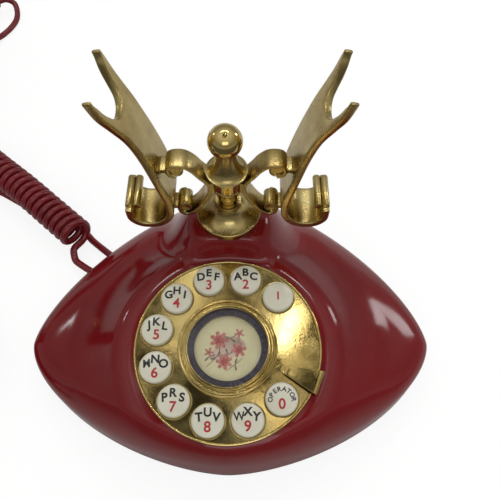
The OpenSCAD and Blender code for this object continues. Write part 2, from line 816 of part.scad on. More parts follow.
module scroll() {
    at_cradle() translate([0, scroll_half_b, 0]) rotate([90, 0, 0]) linear_extrude(2 * scroll_half_b)
        union() {
            ribbon(scroll_line, scroll_t);
            for (c = [upper_roll, lower_roll]) translate([c[0], c[1]]) circle(r = c[2], $fn = 32);
            polygon([[5, 81], [6.4, 80.8], [6.4, 86.2], [5, 86]]);
            translate([22, 92]) square([3.2, 2]);
            translate([19.6, 68.4]) square([3, 1.8]);
        }
}

module right_scroll() {
    color([0.76, 0.64, 0.36]) scroll();
}

module left_scroll() {
    color([0.76, 0.64, 0.36]) mirror([1, 0, 0]) scroll();
}

// ---------------------------------------------------------------- inside

module hook_switch() {
    cheek_t = 5 - lever_w / 2 - lever_gap;
    color([0.13, 0.13, 0.14]) {
        translate([-5, 7, switch_z]) cube([10, 14, switch_h]);
        for (x = [-5, 5 - cheek_t]) translate([x, lever_pivot_y - 2.5, switch_z + switch_h - 0.5])
            cube([cheek_t, 5, lever_pivot_z - switch_z - switch_h + 2.5]);
        translate([-5, lever_pivot_y, lever_pivot_z]) rotate([0, 90, 0]) cylinder(r = pin_r, h = 10);
    }
}

module hook_lever() {
    color([0.7, 0.7, 0.72]) translate([0, lever_pivot_y, lever_pivot_z]) difference() {
        union() {
            rotate([0, 90, 0]) cylinder(r = 1.9, h = lever_w, center = true);
            translate([-lever_w / 2, 0, -0.6])
                cube([lever_w, cradle_y - peg_reach - lever_pivot_y + 2, 1.2]);
        }
        rotate([0, 90, 0]) cylinder(r = pin_r + pin_gap, h = lever_w + 2, center = true);
    }
}

module ringer_frame() {
    color([0.62, 0.63, 0.65]) difference() {
        union() {
            translate([ringer_corner[0], ringer_corner[1], base_top]) cube([ringer_w, ringer_depth, 1]);
            translate([gong_xy[0], gong_xy[1], base_top]) {
                cylinder(r = gong_post_r, h = gong_z + gong_h + 1.5 - base_top);
                cylinder(r = 3.5, h = gong_z + gong_h - gong_wall - base_top);
            }
            translate([clapper_pivot[0], clapper_pivot[1], base_top]) {
                cylinder(r = pin_r, h = 9);
                cylinder(r = 2.4, h = 3.4);
            }
            for (x = [-49, -39]) translate([x - 1, ringer_y - 4, base_top]) cube([2, 8, 6]);
        }
        ringer_winding(ringer_coil_r + 0.05);
    }
}

module ringer_gong() {
    color([0.75, 0.6, 0.3]) translate([gong_xy[0], gong_xy[1], gong_z]) difference() {
        rotate_extrude($fn = 64) polygon([
            [gong_r - gong_wall, 0], [gong_r, 0], [gong_r - 0.6, 4], [gong_r - 2.6, 7],
            [gong_r - 6, gong_h], [0, gong_h], [0, gong_h - gong_wall],
            [gong_r - 6.4, gong_h - gong_wall], [gong_r - 3.6, 6.2],
            [gong_r - 1.8, 3.6]
        ]);
        translate([0, 0, -1]) cylinder(r = gong_post_r + 0.05, h = gong_h + 2);
    }
}

module ringer_coil() {
    color([0.5, 0.25, 0.12]) ringer_winding(ringer_coil_r);
}

module ringer_winding(r) {
    translate([ringer_corner[0] + 1, ringer_y, ringer_axis_z]) rotate([0, 90, 0]) cylinder(r = r, h = 15);
}

module ringer_clapper() {
    color([0.7, 0.7, 0.72]) translate(clapper_pivot) difference() {
        union() {
            translate([0, 0, -2.4]) cylinder(r = 2.6, h = 3.6);
            rotate(95) translate([0, -1, -1]) cube([9, 2, 1.4]);
            rotate(clapper_turn) translate([0, -0.6, -0.8]) cube([clapper_len - 0.5, 1.2, 1.2]);
            rotate(clapper_turn) translate([clapper_len, 0, -0.2]) sphere(r = 1.6);
        }
        translate([0, 0, -4]) cylinder(r = pin_r + pin_gap, h = 8);
    }
}

module network_board() {
    color([0.55, 0.42, 0.22]) translate([board_xy[0] - board_w / 2, board_xy[1] - board_w / 2, board_z])
        cube([board_w, board_w, board_t]);
}

module induction_coil() {
    color([0.45, 0.45, 0.47]) translate([board_xy[0] - 14, board_xy[1] - 2, board_z + board_t]) {
        cube([16, 14, 3]);
        translate([3, 2, 3 - eps]) cube([10, 10, 7 + eps]);
    }
}

module capacitor() {
    color([0.7, 0.62, 0.3]) translate([board_xy[0] + 10, board_xy[1] - 14, board_z + board_t + 4])
        rotate([-90, 0, 0]) cylinder(r = 4, h = 22);
}

// ---------------------------------------------------------------- handset

module handle() {
    color([0.49, 0.11, 0.12]) on_handset() translate([0, -handle_half, handle_z]) rotate([-90, 0, 0])
        rotate_extrude() polygon([
            [0, 0],
            for (s = [0 : 0.1 : 1]) [
                ferrule_r - 1.4 + (handle_r - ferrule_r + 1.4) * sin(180 * s), 2 * handle_half * s
            ],
            [0, 2 * handle_half]
        ]);
}

module handle_ferrules() {
    color([0.8, 0.66, 0.34]) on_handset() for (s = [-1, 1])
        translate([0, s * handle_half, handle_z]) rotate([-90 * s, 0, 0])
            rotate_extrude() polygon([
                [0, 0], [ferrule_r - 1, 0], [ferrule_r, 1], [ferrule_r, 3], [ferrule_r - 1.2, 4],
                [ferrule_r - 1.6, 8], [ferrule_r - 0.4, 9], [ferrule_r - 0.4, ferrule_len],
                [0, ferrule_len]
            ]);
}

// A cup with its neck, open downwards, at the end of the handle given by "side"
module cup(side) {
    translate([0, side * cup_span / 2, 0]) difference() {
        union() {
            rotate_extrude($fn = 64) polygon([
                [0, 0], [cup_r - 1, 0], [cup_r, 1], [cup_r, 5], [cup_r - 1.4, 7], [cup_r - 2.4, 12],
                [cup_r - 6, 18], [cup_r - 11, 23], [hub_r + 1.5, cup_h], [hub_r + 1.5, cup_h + 3],
                [hub_r, cup_h + 4.5], [hub_r, handle_z + 8], [hub_r - 3, handle_z + 10],
                [0, handle_z + 10]
            ]);
            translate([0, 0, handle_z]) rotate([90 * side, 0, 0])
                cylinder(r = neck_bar_r, h = cup_span / 2 - handle_half - ferrule_len);
        }
        translate([0, 0, -1]) cylinder(r = cup_r - 3, h = 9, $fn = 64);
    }
}

module ear_cup() {
    color([0.49, 0.11, 0.12]) on_handset() cup(-1);
}

module mouth_cup() {
    color([0.49, 0.11, 0.12]) on_handset() difference() {
        cup(1);
        translate([0, cup_span / 2, 8]) rotate([0, 90, gland_turn]) cylinder(r = gland_bore_r, h = 40);
    }
}

module capsule(side) {
    on_handset() translate([0, side * cup_span / 2, 2]) cylinder(r = cup_r - 3.2, h = 6, $fn = 64);
}

module receiver_capsule() {
    color([0.15, 0.15, 0.16]) capsule(-1);
}

module transmitter_capsule() {
    color([0.15, 0.15, 0.16]) capsule(1);
}

module handset_grommet() {
    color([0.8, 0.66, 0.34]) on_handset() translate([0, cup_span / 2, 8]) rotate([0, 90, gland_turn])
        translate([0, 0, cup_r - 2]) {
            cylinder(r = gland_bore_r - 0.1, h = gland_len);
            translate([0, 0, 1.6]) cylinder(r = gland_r, h = gland_len - 1.6);
        }
}

// ---------------------------------------------------------------- cords

module cord_grommet(a) {
    color([0.3, 0.06, 0.07]) at_exit(a) rotate_extrude() polygon([
        [0, -3], [cord_r + 0.7, -3], [cord_r + 0.7, 0.3], [grommet_r, 0.3], [grommet_r, 1.4],
        [cord_r + 0.5, grommet_len], [0, grommet_len]
    ]);
}

module line_cord_grommet() {
    cord_grommet(line_exit_angle);
}

module handset_cord_grommet() {
    cord_grommet(tail_exit_angle);
}

module cord_tail_base() {
    color([0.47, 0.13, 0.15]) swept(tail_base_route, cord_r, cord_sides);
}

module cord_curl() {
    color([0.47, 0.13, 0.15]) swept(curl_route, curl_r, curl_sides);
}

module cord_tail_handset() {
    color([0.47, 0.13, 0.15]) swept(tail_handset_route, cord_r, cord_sides);
}

module line_cord() {
    color([0.47, 0.13, 0.15]) {
        swept(line_route, cord_r, cord_sides);
        swept(line_end_route, cord_r, cord_sides);
    }
}

module line_cord_coil() {
    color([0.47, 0.13, 0.15]) translate([coil_at[0], coil_at[1], 0]) rotate_extrude() polygon([
        [coil_mid_r - coil_side / 2, 1], [coil_mid_r - coil_side / 2 + 1, 0],
        [coil_mid_r + coil_side / 2 - 1, 0], [coil_mid_r + coil_side / 2, 1],
        [coil_mid_r + coil_side / 2, coil_side - 1], [coil_mid_r + coil_side / 2 - 1, coil_side],
        [coil_mid_r - coil_side / 2 + 1, coil_side], [coil_mid_r - coil_side / 2, coil_side - 1]
    ]);
}

module line_plug() {
    color([0.8, 0.82, 0.82, 0.6]) translate([plug_at[0], plug_at[1] - plug_w / 2, 0])
        cube([plug_len, plug_w, plug_h]);
}

body_shell();
base_pad();
base_plate();
base_screws();
dial_plate();
finger_stop();
medallion_bezel();
medallion_spacer();
picture_card();
medallion_lens();
key_frame();
dome_mat();
key_board();
dial_nuts();
cradle_bell();
post_guide();
cradle_spring();
hook_switch();
ringer_frame();
ringer_gong();
ringer_coil();
network_board();
induction_coil();
capacitor();
handset_cord_grommet();
line_cord_grommet();
cradle_post();
post_collar();
waist_collar();
finial_disc();
ball_knob();
left_arm();
right_arm();
left_scroll();
right_scroll();
hook_lever();
ringer_clapper();
key_1();
key_2();
key_3();
key_4();
key_5();
key_6();
key_7();
key_8();
key_9();
key_0();
handle();
handle_ferrules();
ear_cup();
mouth_cup();
receiver_capsule();
transmitter_capsule();
handset_grommet();
cord_tail_base();
cord_curl();
cord_tail_handset();
line_cord();
line_cord_coil();
line_plug();
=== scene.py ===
"""Looks of the ornamental push-key telephone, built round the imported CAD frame. Metres."""
import math
from math import cos, hypot, pi, radians, sin

import bmesh
import bpy
import numpy as np
from mathutils import Matrix, Vector, geometry
from numpy.linalg import norm


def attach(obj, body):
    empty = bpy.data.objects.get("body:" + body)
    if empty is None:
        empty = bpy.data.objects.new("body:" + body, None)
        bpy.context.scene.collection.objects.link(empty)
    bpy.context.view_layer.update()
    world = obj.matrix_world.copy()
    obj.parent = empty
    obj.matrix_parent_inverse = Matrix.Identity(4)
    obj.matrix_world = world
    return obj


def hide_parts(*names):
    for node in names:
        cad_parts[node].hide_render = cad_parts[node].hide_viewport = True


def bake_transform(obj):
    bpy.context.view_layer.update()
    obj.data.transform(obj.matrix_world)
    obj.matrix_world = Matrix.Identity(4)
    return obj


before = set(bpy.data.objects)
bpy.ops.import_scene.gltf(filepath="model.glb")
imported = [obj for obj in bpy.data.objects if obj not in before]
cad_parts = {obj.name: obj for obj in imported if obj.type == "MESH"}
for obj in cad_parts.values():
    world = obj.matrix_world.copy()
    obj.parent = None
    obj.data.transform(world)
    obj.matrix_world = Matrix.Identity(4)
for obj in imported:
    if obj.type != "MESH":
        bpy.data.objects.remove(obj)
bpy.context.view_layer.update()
MM = 0.001


def linked(name, data):
    """A new object in the scene."""
    obj = bpy.data.objects.new(name, data)
    bpy.context.scene.collection.objects.link(obj)
    return obj


# ---------------------------------------- camera
camera_data = bpy.data.cameras.new("camera")
camera_data.lens = 43.2
camera_data.sensor_width = 36
camera_data.clip_start = 0.01
camera = linked("camera", camera_data)
camera.location = (0.009, -0.100, 0.274)
camera.rotation_euler = (radians(30), 0, 0)
bpy.context.scene.camera = camera


# ---------------------------------------- helpers
def add(name, mesh, body, replaces=(), slot=None):
    """A visible piece in the scene. One without a body is left unattached."""
    obj = linked(name, mesh)
    if body:
        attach(obj, body)
    if replaces:
        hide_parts(*replaces)
    return obj


def mesh_of(name, points, faces, sharp):
    """A mesh from points in millimetres, shaded smooth with hard edges kept sharp."""
    mesh = bpy.data.meshes.new(name)
    mesh.from_pydata([[c * MM for c in p] for p in points], [], faces)
    bm = bmesh.new()
    bm.from_mesh(mesh)
    bmesh.ops.remove_doubles(bm, verts=bm.verts, dist=1e-7)
    bmesh.ops.recalc_face_normals(bm, faces=bm.faces)
    for f in bm.faces:
        f.smooth = True
    for e in bm.edges:
        if len(e.link_faces) == 2 and e.calc_face_angle(0) > radians(sharp):
            e.smooth = False
    bm.to_mesh(mesh)
    bm.free()
    return mesh


def joined(name, parts, mat, body, replaces=(), slot=None, sharp=35):
    """A visible piece in one material, made of pairs of points and faces."""
    points, faces = [], []
    for pts, fcs in parts:
        base = len(points)
        points += [list(p) for p in pts]
        faces += [[base + i for i in f] for f in fcs]
    obj = add(name, mesh_of(name, points, faces, sharp), body, replaces, slot)
    obj.data.materials.append(mat)
    return obj


def dressed(name, part, *rest):
    return joined(name, [part], *rest)


def spline(points, steps):
    """Points of a smooth line through a route, as the CAD source draws it."""
    p = np.array(points, float)
    out = []
    for i in range(len(p) - 1):
        a, b = p[max(i - 1, 0)], p[i]
        c, d = p[i + 1], p[min(i + 2, len(p) - 1)]
        for s in range(steps):
            t = s / steps
            out.append(0.5 * (2 * b + (c - a) * t + (2 * a - 5 * b + 4 * c - d) * t * t
                              + (3 * b - a - 3 * c + d) * t ** 3))
    out.append(p[-1])
    return np.array(out)


def arc_of(line):
    """How far along a line each of its points lies."""
    return np.concatenate([[0], np.cumsum(norm(np.diff(line, axis=0), axis=1))])


def resample(line, step):
    """The same line with even spacing of about one step."""
    line = np.array(line, float)
    arc = arc_of(line)
    n = max(int(round(arc[-1] / step)), 2)
    at = np.linspace(0, arc[-1], n + 1)
    return np.stack([np.interp(at, arc, line[:, k]) for k in range(line.shape[1])], 1)


def bridge(a, b, step):
    """Two lines joined by a smooth bend from the end of one to the start of the other."""
    a, b = np.array(a, float), np.array(b, float)
    reach = norm(b[0] - a[-1])
    out_of, into = a[-1] - a[-2], b[1] - b[0]
    out_of, into = out_of / norm(out_of) * reach, into / norm(into) * reach
    bend = []
    for t in np.linspace(0, 1, max(int(reach * 1.1 / step), 4) + 1)[1:-1]:
        bend.append((2 * t ** 3 - 3 * t * t + 1) * a[-1] + (t ** 3 - 2 * t * t + t) * out_of
                    + (3 * t * t - 2 * t ** 3) * b[0] + (t ** 3 - t * t) * into)
    return np.concatenate([a, bend, b])


def path_length(line):
    """A line's length, over its corners."""
    return float(norm(np.diff(np.array(line), axis=0), axis=1).sum())


def walls(rings, n):
    """Faces between neighbouring rings of n points each."""
    return [[i * n + k, i * n + (k + 1) % n, (i + 1) * n + (k + 1) % n, (i + 1) * n + k]
            for i in range(rings - 1) for k in range(n)]


def skin(rings, n):
    """Faces of a closed solid through rings of n points each."""
    return walls(rings, n) + [list(range(n)), [(rings - 1) * n + k for k in range(n)]]


def circle(r, n):
    return [(r * cos(2 * pi * k / n), r * sin(2 * pi * k / n)) for k in range(n)]


def tube(line, radius, sides):
    """Points and faces of a round tube along a line, carried without twist."""
    line = np.array(line, float)
    tangents = np.gradient(line, axis=0)
    tangents /= norm(tangents, axis=1)[:, None]
    side = np.cross(tangents[0], [0, 0, 1])
    side /= norm(side)
    points = []
    for i, t in enumerate(tangents):
        side = side - t * side.dot(t)
        side /= norm(side)
        up = np.cross(side, t)
        points += [line[i] + radius * (cos(2 * pi * k / sides) * side
                                       + sin(2 * pi * k / sides) * up)
                   for k in range(sides)]
    return points, skin(len(line), sides)


def lathe(profile, sides=128):
    """Points and faces of a solid turned about Z from [radius, height] pairs."""
    points, faces, rows = [], [], []
    for r, z in profile:
        if r < 1e-6:
            rows.append([len(points)])
            points.append([0, 0, z])
        else:
            rows.append(list(range(len(points), len(points) + sides)))
            points += [[x, y, z] for x, y in circle(r, sides)]
    for a, b in zip(rows, rows[1:]):
        for k in range(sides):
            j = (k + 1) % sides
            if len(a) == 1 and len(b) > 1:
                faces.append([a[0], b[k], b[j]])
            elif len(b) == 1 and len(a) > 1:
                faces.append([a[k], b[0], a[j]])
            elif len(a) > 1:
                faces.append([a[k], b[k], b[j], a[j]])
    return points, faces


def rounded(profile, radius=0.25, steps=3):
    """A profile with its corners eased, so that turned metal catches the light."""
    p = np.array(profile, float)
    out = [p[0]]
    for i in range(1, len(p) - 1):
        a, b, c = p[i - 1], p[i], p[i + 1]
        la, lc = norm(a - b), norm(c - b)
        cut = min(radius, 0.45 * la, 0.45 * lc)
        start, end = b + (a - b) / la * cut, b + (c - b) / lc * cut
        for s in range(steps + 1):
            t = s / steps
            out.append((1 - t) ** 2 * start + 2 * t * (1 - t) * b + t * t * end)
    out.append(p[-1])
    return [list(q) for q in out]


def shift(x, y, z):
    return Matrix.Translation((x, y, z))


def spin(angle, axis):
    return Matrix.Rotation(angle, 4, axis)


def moved(part, at):
    points, faces = part
    return [[p[0] + at[0], p[1] + at[1], p[2] + at[2]] for p in points], faces


def transformed(part, matrix):
    points, faces = part
    return [list(matrix @ Vector(p)) for p in points], faces


# ---------------------------------------- cords
CORD_D = 3.6
CURL_D = 17
CURL_PITCH = 4.55
CORD_EXIT_Z = 6.5
TAIL_BASE = [[-70.3, 41.5, CORD_EXIT_Z], [-76.5, 46, 5.2], [-80.5, 49.5, 4.6], [-82, 54, 5.4],
             [-81, 58, 7.2]]
CURL = [
    [-79, 60, 12.4], [-95, 74, 12.4], [-112, 89, 12.4], [-129, 103, 12.2], [-142, 115, 10.6],
    [-155, 131, 9], [-165, 150, 8.8], [-169, 170, 8.8], [-169, 188, 8.8], [-165, 204, 8.8]]
TAIL_HANDSET = [
    [-163.5, 207, 6.5], [-159.5, 213, 3.6], [-154.5, 220, 2.1], [-150, 228, 2], [-148, 236, 2],
    [-148.5, 243, 3.2], [-151, 248.5, 5.4], [-156, 249.3, 7.4], [-160.3, 246.3, 8]]
LINE = [
    [-61.7, 50.8, CORD_EXIT_Z], [-68, 56.6, 4.6], [-74, 62.5, 2.4], [-80, 68.5, 1.9],
    [-95, 76.5, 1.9], [-113, 84.8, 1.9], [-130, 94.5, 1.9], [-140, 96, 1.9], [-148, 90, 1.9],
    [-152, 78, 1.9], [-154, 60, 1.9], [-157, 40, 1.9], [-160, 25, 1.9], [-162, 18, 2.5]]
LINE_END = [[-152, -34.5, 2.5], [-146, -37.5, 2.5], [-140, -39.5, 3.3], [-136, -40, 3.3]]
COIL_AT = (-144, -6)
COIL_OUTER = 27.0
COIL_LAYER = 3.73
COIL_FLOOR = 2.05
COIL_OFF_R, COIL_OFF_Z = 31, 2.3
COIL_OVER, COIL_DOWN, COIL_DOWN_RUN = 2.8, 0.55, 0.52
CURL_POINTS, COIL_POINTS = 22, 44


def curl_line():
    """The handset cord's own line: its two plain tails and the helix between them."""
    axis = resample(spline(CURL, 12), 0.2)
    tangents = np.gradient(axis, axis=0)
    tangents /= norm(tangents, axis=1)[:, None]
    sides = np.cross(tangents, [0, 0, 1])
    sides /= norm(sides, axis=1)[:, None]
    ups = np.cross(sides, tangents)
    r = (CURL_D - CORD_D) / 2
    start, end = radians(-80), radians(-118)
    turns = round(path_length(axis) / CURL_PITCH)
    total = 2 * pi * turns + end - start
    helix = []
    for a in np.linspace(start, start + total, turns * CURL_POINTS):
        i = (a - start) / total * (len(axis) - 1)
        at, side, up = (v[int(i)] for v in (axis, sides, ups))
        helix.append(at + r * (cos(a) * side + sin(a) * up))
    first = resample(spline(TAIL_BASE[:-1], 8), 1.2)
    last = resample(spline(TAIL_HANDSET[1:], 8), 1.6)
    return bridge(bridge(first, helix, 1.2), last, 1.2)


def ease(t):
    t = min(max(t, 0), 1)
    return t * t * (3 - 2 * t)


def coil_line():
    """The neat coil: three full layers wound in and out, then off over the top."""
    window, theta, end_angle = 0.16, radians(155), radians(250)
    jogs, rises, s = [], [], 0
    for layer, at in enumerate([0.68, 0.36, 0.04]):
        first = math.floor(s) + at + (1 if math.floor(s) + at < s else 0)
        jogs += [(first + k, 1 if layer % 2 == 0 else -1) for k in range(3)]
        rises.append(first + 3 - window)
        s = first + 3
    top = s
    total = top + COIL_OVER
    total -= (theta + 2 * pi * total - end_angle) % (2 * pi) / (2 * pi)
    down_from = total - COIL_DOWN
    points = []
    for s in np.linspace(0, total, int(total * COIL_POINTS)):
        ring = sum(step * ease((s - at) / window) for at, step in jogs)
        layer = sum(ease((s - at) / window) for at in rises)
        r = COIL_OUTER - COIL_LAYER * ring
        r += (COIL_OFF_R - r) * ease((s - top) / (down_from - top))
        down = ease((s - down_from) / COIL_DOWN_RUN)
        z = (COIL_FLOOR + COIL_LAYER * layer) * (1 - down) + COIL_OFF_Z * down
        a = theta + 2 * pi * s
        points.append([COIL_AT[0] + r * cos(a), COIL_AT[1] + r * sin(a), z])
    return np.array(points)


def line_cord_line():
    first = resample(spline(LINE[:-1], 10), 2.0)
    last = resample(spline(LINE_END[1:], 8), 1.6)
    return bridge(bridge(first, coil_line(), 2.0), last, 1.6)


# ---------------------------------------- materials
def lin(r, g, b):
    """An sRGB colour of 0 to 255 as the linear colour that Blender takes."""
    def one(c):
        c /= 255
        return c / 12.92 if c <= 0.04045 else ((c + 0.055) / 1.055) ** 2.4
    return one(r), one(g), one(b), 1


def tree_of(owner):
    """The shader nodes and links of a material or a world."""
    owner.use_nodes = True
    return owner.node_tree.nodes, owner.node_tree.links


def shader_node(nodes, kind, **sockets):
    """A new shader node with some of its inputs set."""
    node = nodes.new("ShaderNode" + kind)
    for key, value in sockets.items():
        node.inputs[key.replace("_", " ")].default_value = value
    return node


def mix_into(nodes, links, share, first, second, target):
    """Sends a mix of two shaders to an output node."""
    mix = nodes.new("ShaderNodeMixShader")
    for source, socket in zip((share, first.outputs[0], second.outputs[0]), mix.inputs):
        links.new(source, socket)
    links.new(mix.outputs[0], nodes[target].inputs["Surface"])


GRAIN_DEPTH = 0.2 * MM


def finish_of(name, colour, second=None, mix=(0.35, 0.7), mottle=60, rough=(0.3, 0.4),
              rough_scale=140, bump=0.0, bump_scale=900, metallic=0.0, **sockets):
    """A surface whose colour, gloss and grain vary by noise over the object."""
    mat = bpy.data.materials.new(name)
    nodes, links = tree_of(mat)
    shader = nodes["Principled BSDF"]
    shader.inputs["Metallic"].default_value = metallic
    for key, value in sockets.items():
        shader.inputs[key.replace("_", " ")].default_value = value
    where = nodes.new("ShaderNodeTexCoord")

    def noise(scale, depth):
        n = shader_node(nodes, "TexNoise", Scale=scale, Detail=depth, Roughness=0.6)
        links.new(where.outputs["Object"], n.inputs["Vector"])
        return n

    ramp = nodes.new("ShaderNodeValToRGB")
    ramp.color_ramp.elements[0].position, ramp.color_ramp.elements[1].position = mix
    ramp.color_ramp.elements[0].color = second or [c * 0.9 for c in colour[:3]] + [1]
    ramp.color_ramp.elements[1].color = colour
    links.new(noise(mottle, 4).outputs["Fac"], ramp.inputs["Fac"])
    links.new(ramp.outputs["Color"], shader.inputs["Base Color"])
    gloss = shader_node(nodes, "MapRange", From_Min=0.35, From_Max=0.7, To_Min=rough[0],
                        To_Max=rough[1])
    links.new(noise(rough_scale, 5).outputs["Fac"], gloss.inputs["Value"])
    links.new(gloss.outputs["Result"], shader.inputs["Roughness"])
    if bump:
        grain = shader_node(nodes, "Bump", Strength=bump, Distance=GRAIN_DEPTH)
        links.new(noise(bump_scale, 3).outputs["Fac"], grain.inputs["Height"])
        links.new(grain.outputs["Normal"], shader.inputs["Normal"])
    return mat


RED = finish_of("red_plastic", lin(132, 24, 28), lin(116, 18, 23), mottle=14, rough=(0.08, 0.15),
                rough_scale=45, bump=0.04, bump_scale=260, Specular_IOR_Level=0.42)
GILT = finish_of("polished_gilt", lin(214, 192, 126), lin(176, 148, 84), mix=(0.3, 0.62),
                 mottle=38, rough=(0.05, 0.17), rough_scale=75, bump=0.06, bump_scale=700,
                 metallic=1.0)
GILT_SATIN = finish_of("satin_gilt", lin(200, 182, 124), lin(158, 134, 80), mix=(0.3, 0.66),
                       mottle=55, rough=(0.2, 0.36), rough_scale=120, bump=0.2,
                       bump_scale=1300, metallic=1.0)
GONG = finish_of("gong_brass", lin(196, 160, 92), mottle=40, rough=(0.25, 0.4), metallic=1.0)
CREAM = finish_of("key_cream", lin(232, 230, 212), lin(224, 220, 198), mottle=90,
                  rough=(0.16, 0.26), bump=0.03, bump_scale=500, Coat_Weight=0.2)
BLACK_INK = finish_of("black_ink", lin(30, 29, 30), rough=(0.35, 0.5), mottle=300)
RED_INK = finish_of("red_ink", lin(190, 42, 52), rough=(0.35, 0.5), mottle=300)
FELT = finish_of("black_felt", lin(34, 32, 33), lin(20, 19, 20), mottle=900, rough=(0.85, 0.98),
                 bump=0.6, bump_scale=2600)
STEEL = finish_of("zinc_steel", lin(176, 178, 182), lin(150, 152, 158), mottle=120,
                  rough=(0.28, 0.42), bump=0.08, metallic=1.0)
BLACK = finish_of("black_moulding", lin(26, 26, 28), lin(18, 18, 20), mottle=200,
                  rough=(0.4, 0.55), bump=0.15, bump_scale=2200)
SILICONE = finish_of("pale_silicone", lin(188, 188, 180), mottle=150, rough=(0.5, 0.65),
                     bump=0.1)
BOARD = finish_of("circuit_board", lin(120, 96, 52), lin(96, 74, 38), mottle=220,
                  rough=(0.5, 0.6), bump=0.1)
WINDING = finish_of("varnished_winding", lin(140, 72, 30), lin(104, 46, 18), mottle=700,
                    rough=(0.25, 0.4), bump=0.3, bump_scale=3000)
CORE = finish_of("laminated_iron", lin(88, 88, 92), lin(64, 64, 68), mottle=400,
                 rough=(0.5, 0.65), bump=0.2)
FILM = finish_of("film_can", lin(190, 160, 60), mottle=180, rough=(0.3, 0.4), bump=0.05)
SPACER = finish_of("spacer_grey", lin(92, 84, 96), lin(72, 66, 76), mottle=160,
                   rough=(0.35, 0.5), bump=0.1, bump_scale=1500)
CARD = finish_of("printed_card", lin(236, 230, 188), lin(228, 218, 172), mottle=160,
                 rough=(0.45, 0.6), bump=0.05, bump_scale=2500)
WASH = finish_of("wash_print", lin(226, 206, 186), lin(214, 188, 170), mottle=300,
                 rough=(0.5, 0.6), mix=(0.3, 0.6))
PINK = finish_of("pink_print", lin(214, 148, 136), lin(190, 108, 102), mottle=900,
                 rough=(0.5, 0.6), mix=(0.35, 0.6))
ROSE = finish_of("rose_print", lin(176, 84, 84), lin(200, 124, 112), mottle=700,
                 rough=(0.5, 0.6), mix=(0.3, 0.6))
LEAF = finish_of("leaf_print", lin(150, 132, 112), lin(120, 104, 96), mottle=420,
                 rough=(0.5, 0.6), mix=(0.3, 0.6))
CORD = finish_of("cord_pvc", lin(132, 26, 34), lin(112, 20, 28), mottle=120, rough=(0.22, 0.36),
                 rough_scale=220, bump=0.12, bump_scale=1600)
PLUG = finish_of("clear_plug", lin(225, 230, 230), mottle=200, rough=(0.04, 0.1),
                 Transmission_Weight=0.92, IOR=1.58)
LENS = finish_of("flat_lens", lin(250, 252, 252), mottle=100, rough=(0.0, 0.02),
                 Transmission_Weight=1.0, IOR=1.45, Alpha=0.3)
COPPER = finish_of("gold_contact", lin(214, 170, 80), rough=(0.15, 0.25), metallic=1.0)

for node, mat in {
        "base_pad": FELT, "base_plate": STEEL, "base_screws": STEEL, "dial_nuts": STEEL,
        "post_guide": STEEL, "cradle_spring": STEEL, "hook_lever": STEEL, "post_collar": STEEL,
        "ringer_frame": STEEL, "ringer_clapper": STEEL, "ringer_gong": GONG,
        "ringer_coil": WINDING, "network_board": BOARD, "key_board": BOARD,
        "induction_coil": CORE, "capacitor": FILM, "dome_mat": SILICONE, "key_frame": BLACK,
        "hook_switch": BLACK, "receiver_capsule": BLACK, "transmitter_capsule": BLACK,
        "cradle_post": GILT, "medallion_spacer": SPACER, "medallion_lens": LENS,
        "picture_card": CARD}.items():
    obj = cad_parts[node]
    for slot in obj.material_slots:
        slot.material = mat
    if not obj.material_slots:
        obj.data.materials.append(mat)


# ---------------------------------------- body
HALF_W, FRONT, REAR = 90, 55, 78
BAND, FRONT_BAND, WING, WING_TIP, ROLL, FRONT_ROLL = 13.5, 21, 33, 19, 16, 4
DIAL_Z, DIAL_T, DIAL_FRONT, TILT = 44.2, 1.2, 13, radians(6)
BOSS_FLAT, SHOULDER, SLOPE, OPENING = 39.4, 14, 0.85, 36.6
CRADLE_Y = 42
FOOT_Z = 2.5
FRONT_POWER, REAR_POWER, WING_POWER = 1.65, 1.52, 1.3
NECK_Z, NECK_RISE, NECK_FLAT, NECK_SPREAD = 19, 38, 13, 18
WING_BLEND, NECK_BLEND, BOSS_BLEND = 12, 8, 6
TIP_CROWDING, FRONT_SHARPNESS, RIM_CROWDING = 0.28, 8, 1.8


def plan_r(a):
    """How far the body reaches from its middle at an angle, seen from above."""
    depth, power = (FRONT, FRONT_POWER) if sin(a) < 0 else (REAR, REAR_POWER)
    across, along = abs(cos(a)) / HALF_W, abs(sin(a)) / depth
    return 1 / (across ** power + along ** power) ** (1 / power)


def dial_plane(y):
    """The height of the tilted seat under the dial plate."""
    return DIAL_Z - DIAL_T / cos(TILT) + math.tan(TILT) * (y + DIAL_FRONT)


def blend_max(a, b, k):
    """The larger of two heights, with the crease between them filled over a width k."""
    h = max(k - abs(a - b), 0) / k
    return max(a, b) + h * h * k / 4


def crown_z(x, y):
    """The top of the body: the boss round the dial, the wings and the neck under the cradle."""
    reach = hypot(x, (y + DIAL_FRONT) / cos(TILT))
    u = reach - BOSS_FLAT
    arc_end = SHOULDER * sin(math.atan(SLOPE))
    on_arc = min(max(u, 0), arc_end)
    drop = SHOULDER - math.sqrt(SHOULDER ** 2 - on_arc ** 2) + SLOPE * max(u - arc_end, 0)
    boss = dial_plane(y) - drop
    out = max(hypot(x, y - CRADLE_Y) - NECK_FLAT, 0) / NECK_SPREAD
    neck = NECK_Z + NECK_RISE * math.exp(-out * out)
    wing = WING_TIP + (WING - WING_TIP) * (1 - min(abs(x) / HALF_W, 1) ** WING_POWER)
    soft = blend_max(blend_max(wing, boss, WING_BLEND), neck, NECK_BLEND)
    return boss + (soft - boss) * ease(u / BOSS_BLEND)


def seat(a, r):
    """A point of a circle on the tilted dial, seen from above."""
    return np.array([r * cos(a), -DIAL_FRONT + r * sin(a) * cos(TILT)])


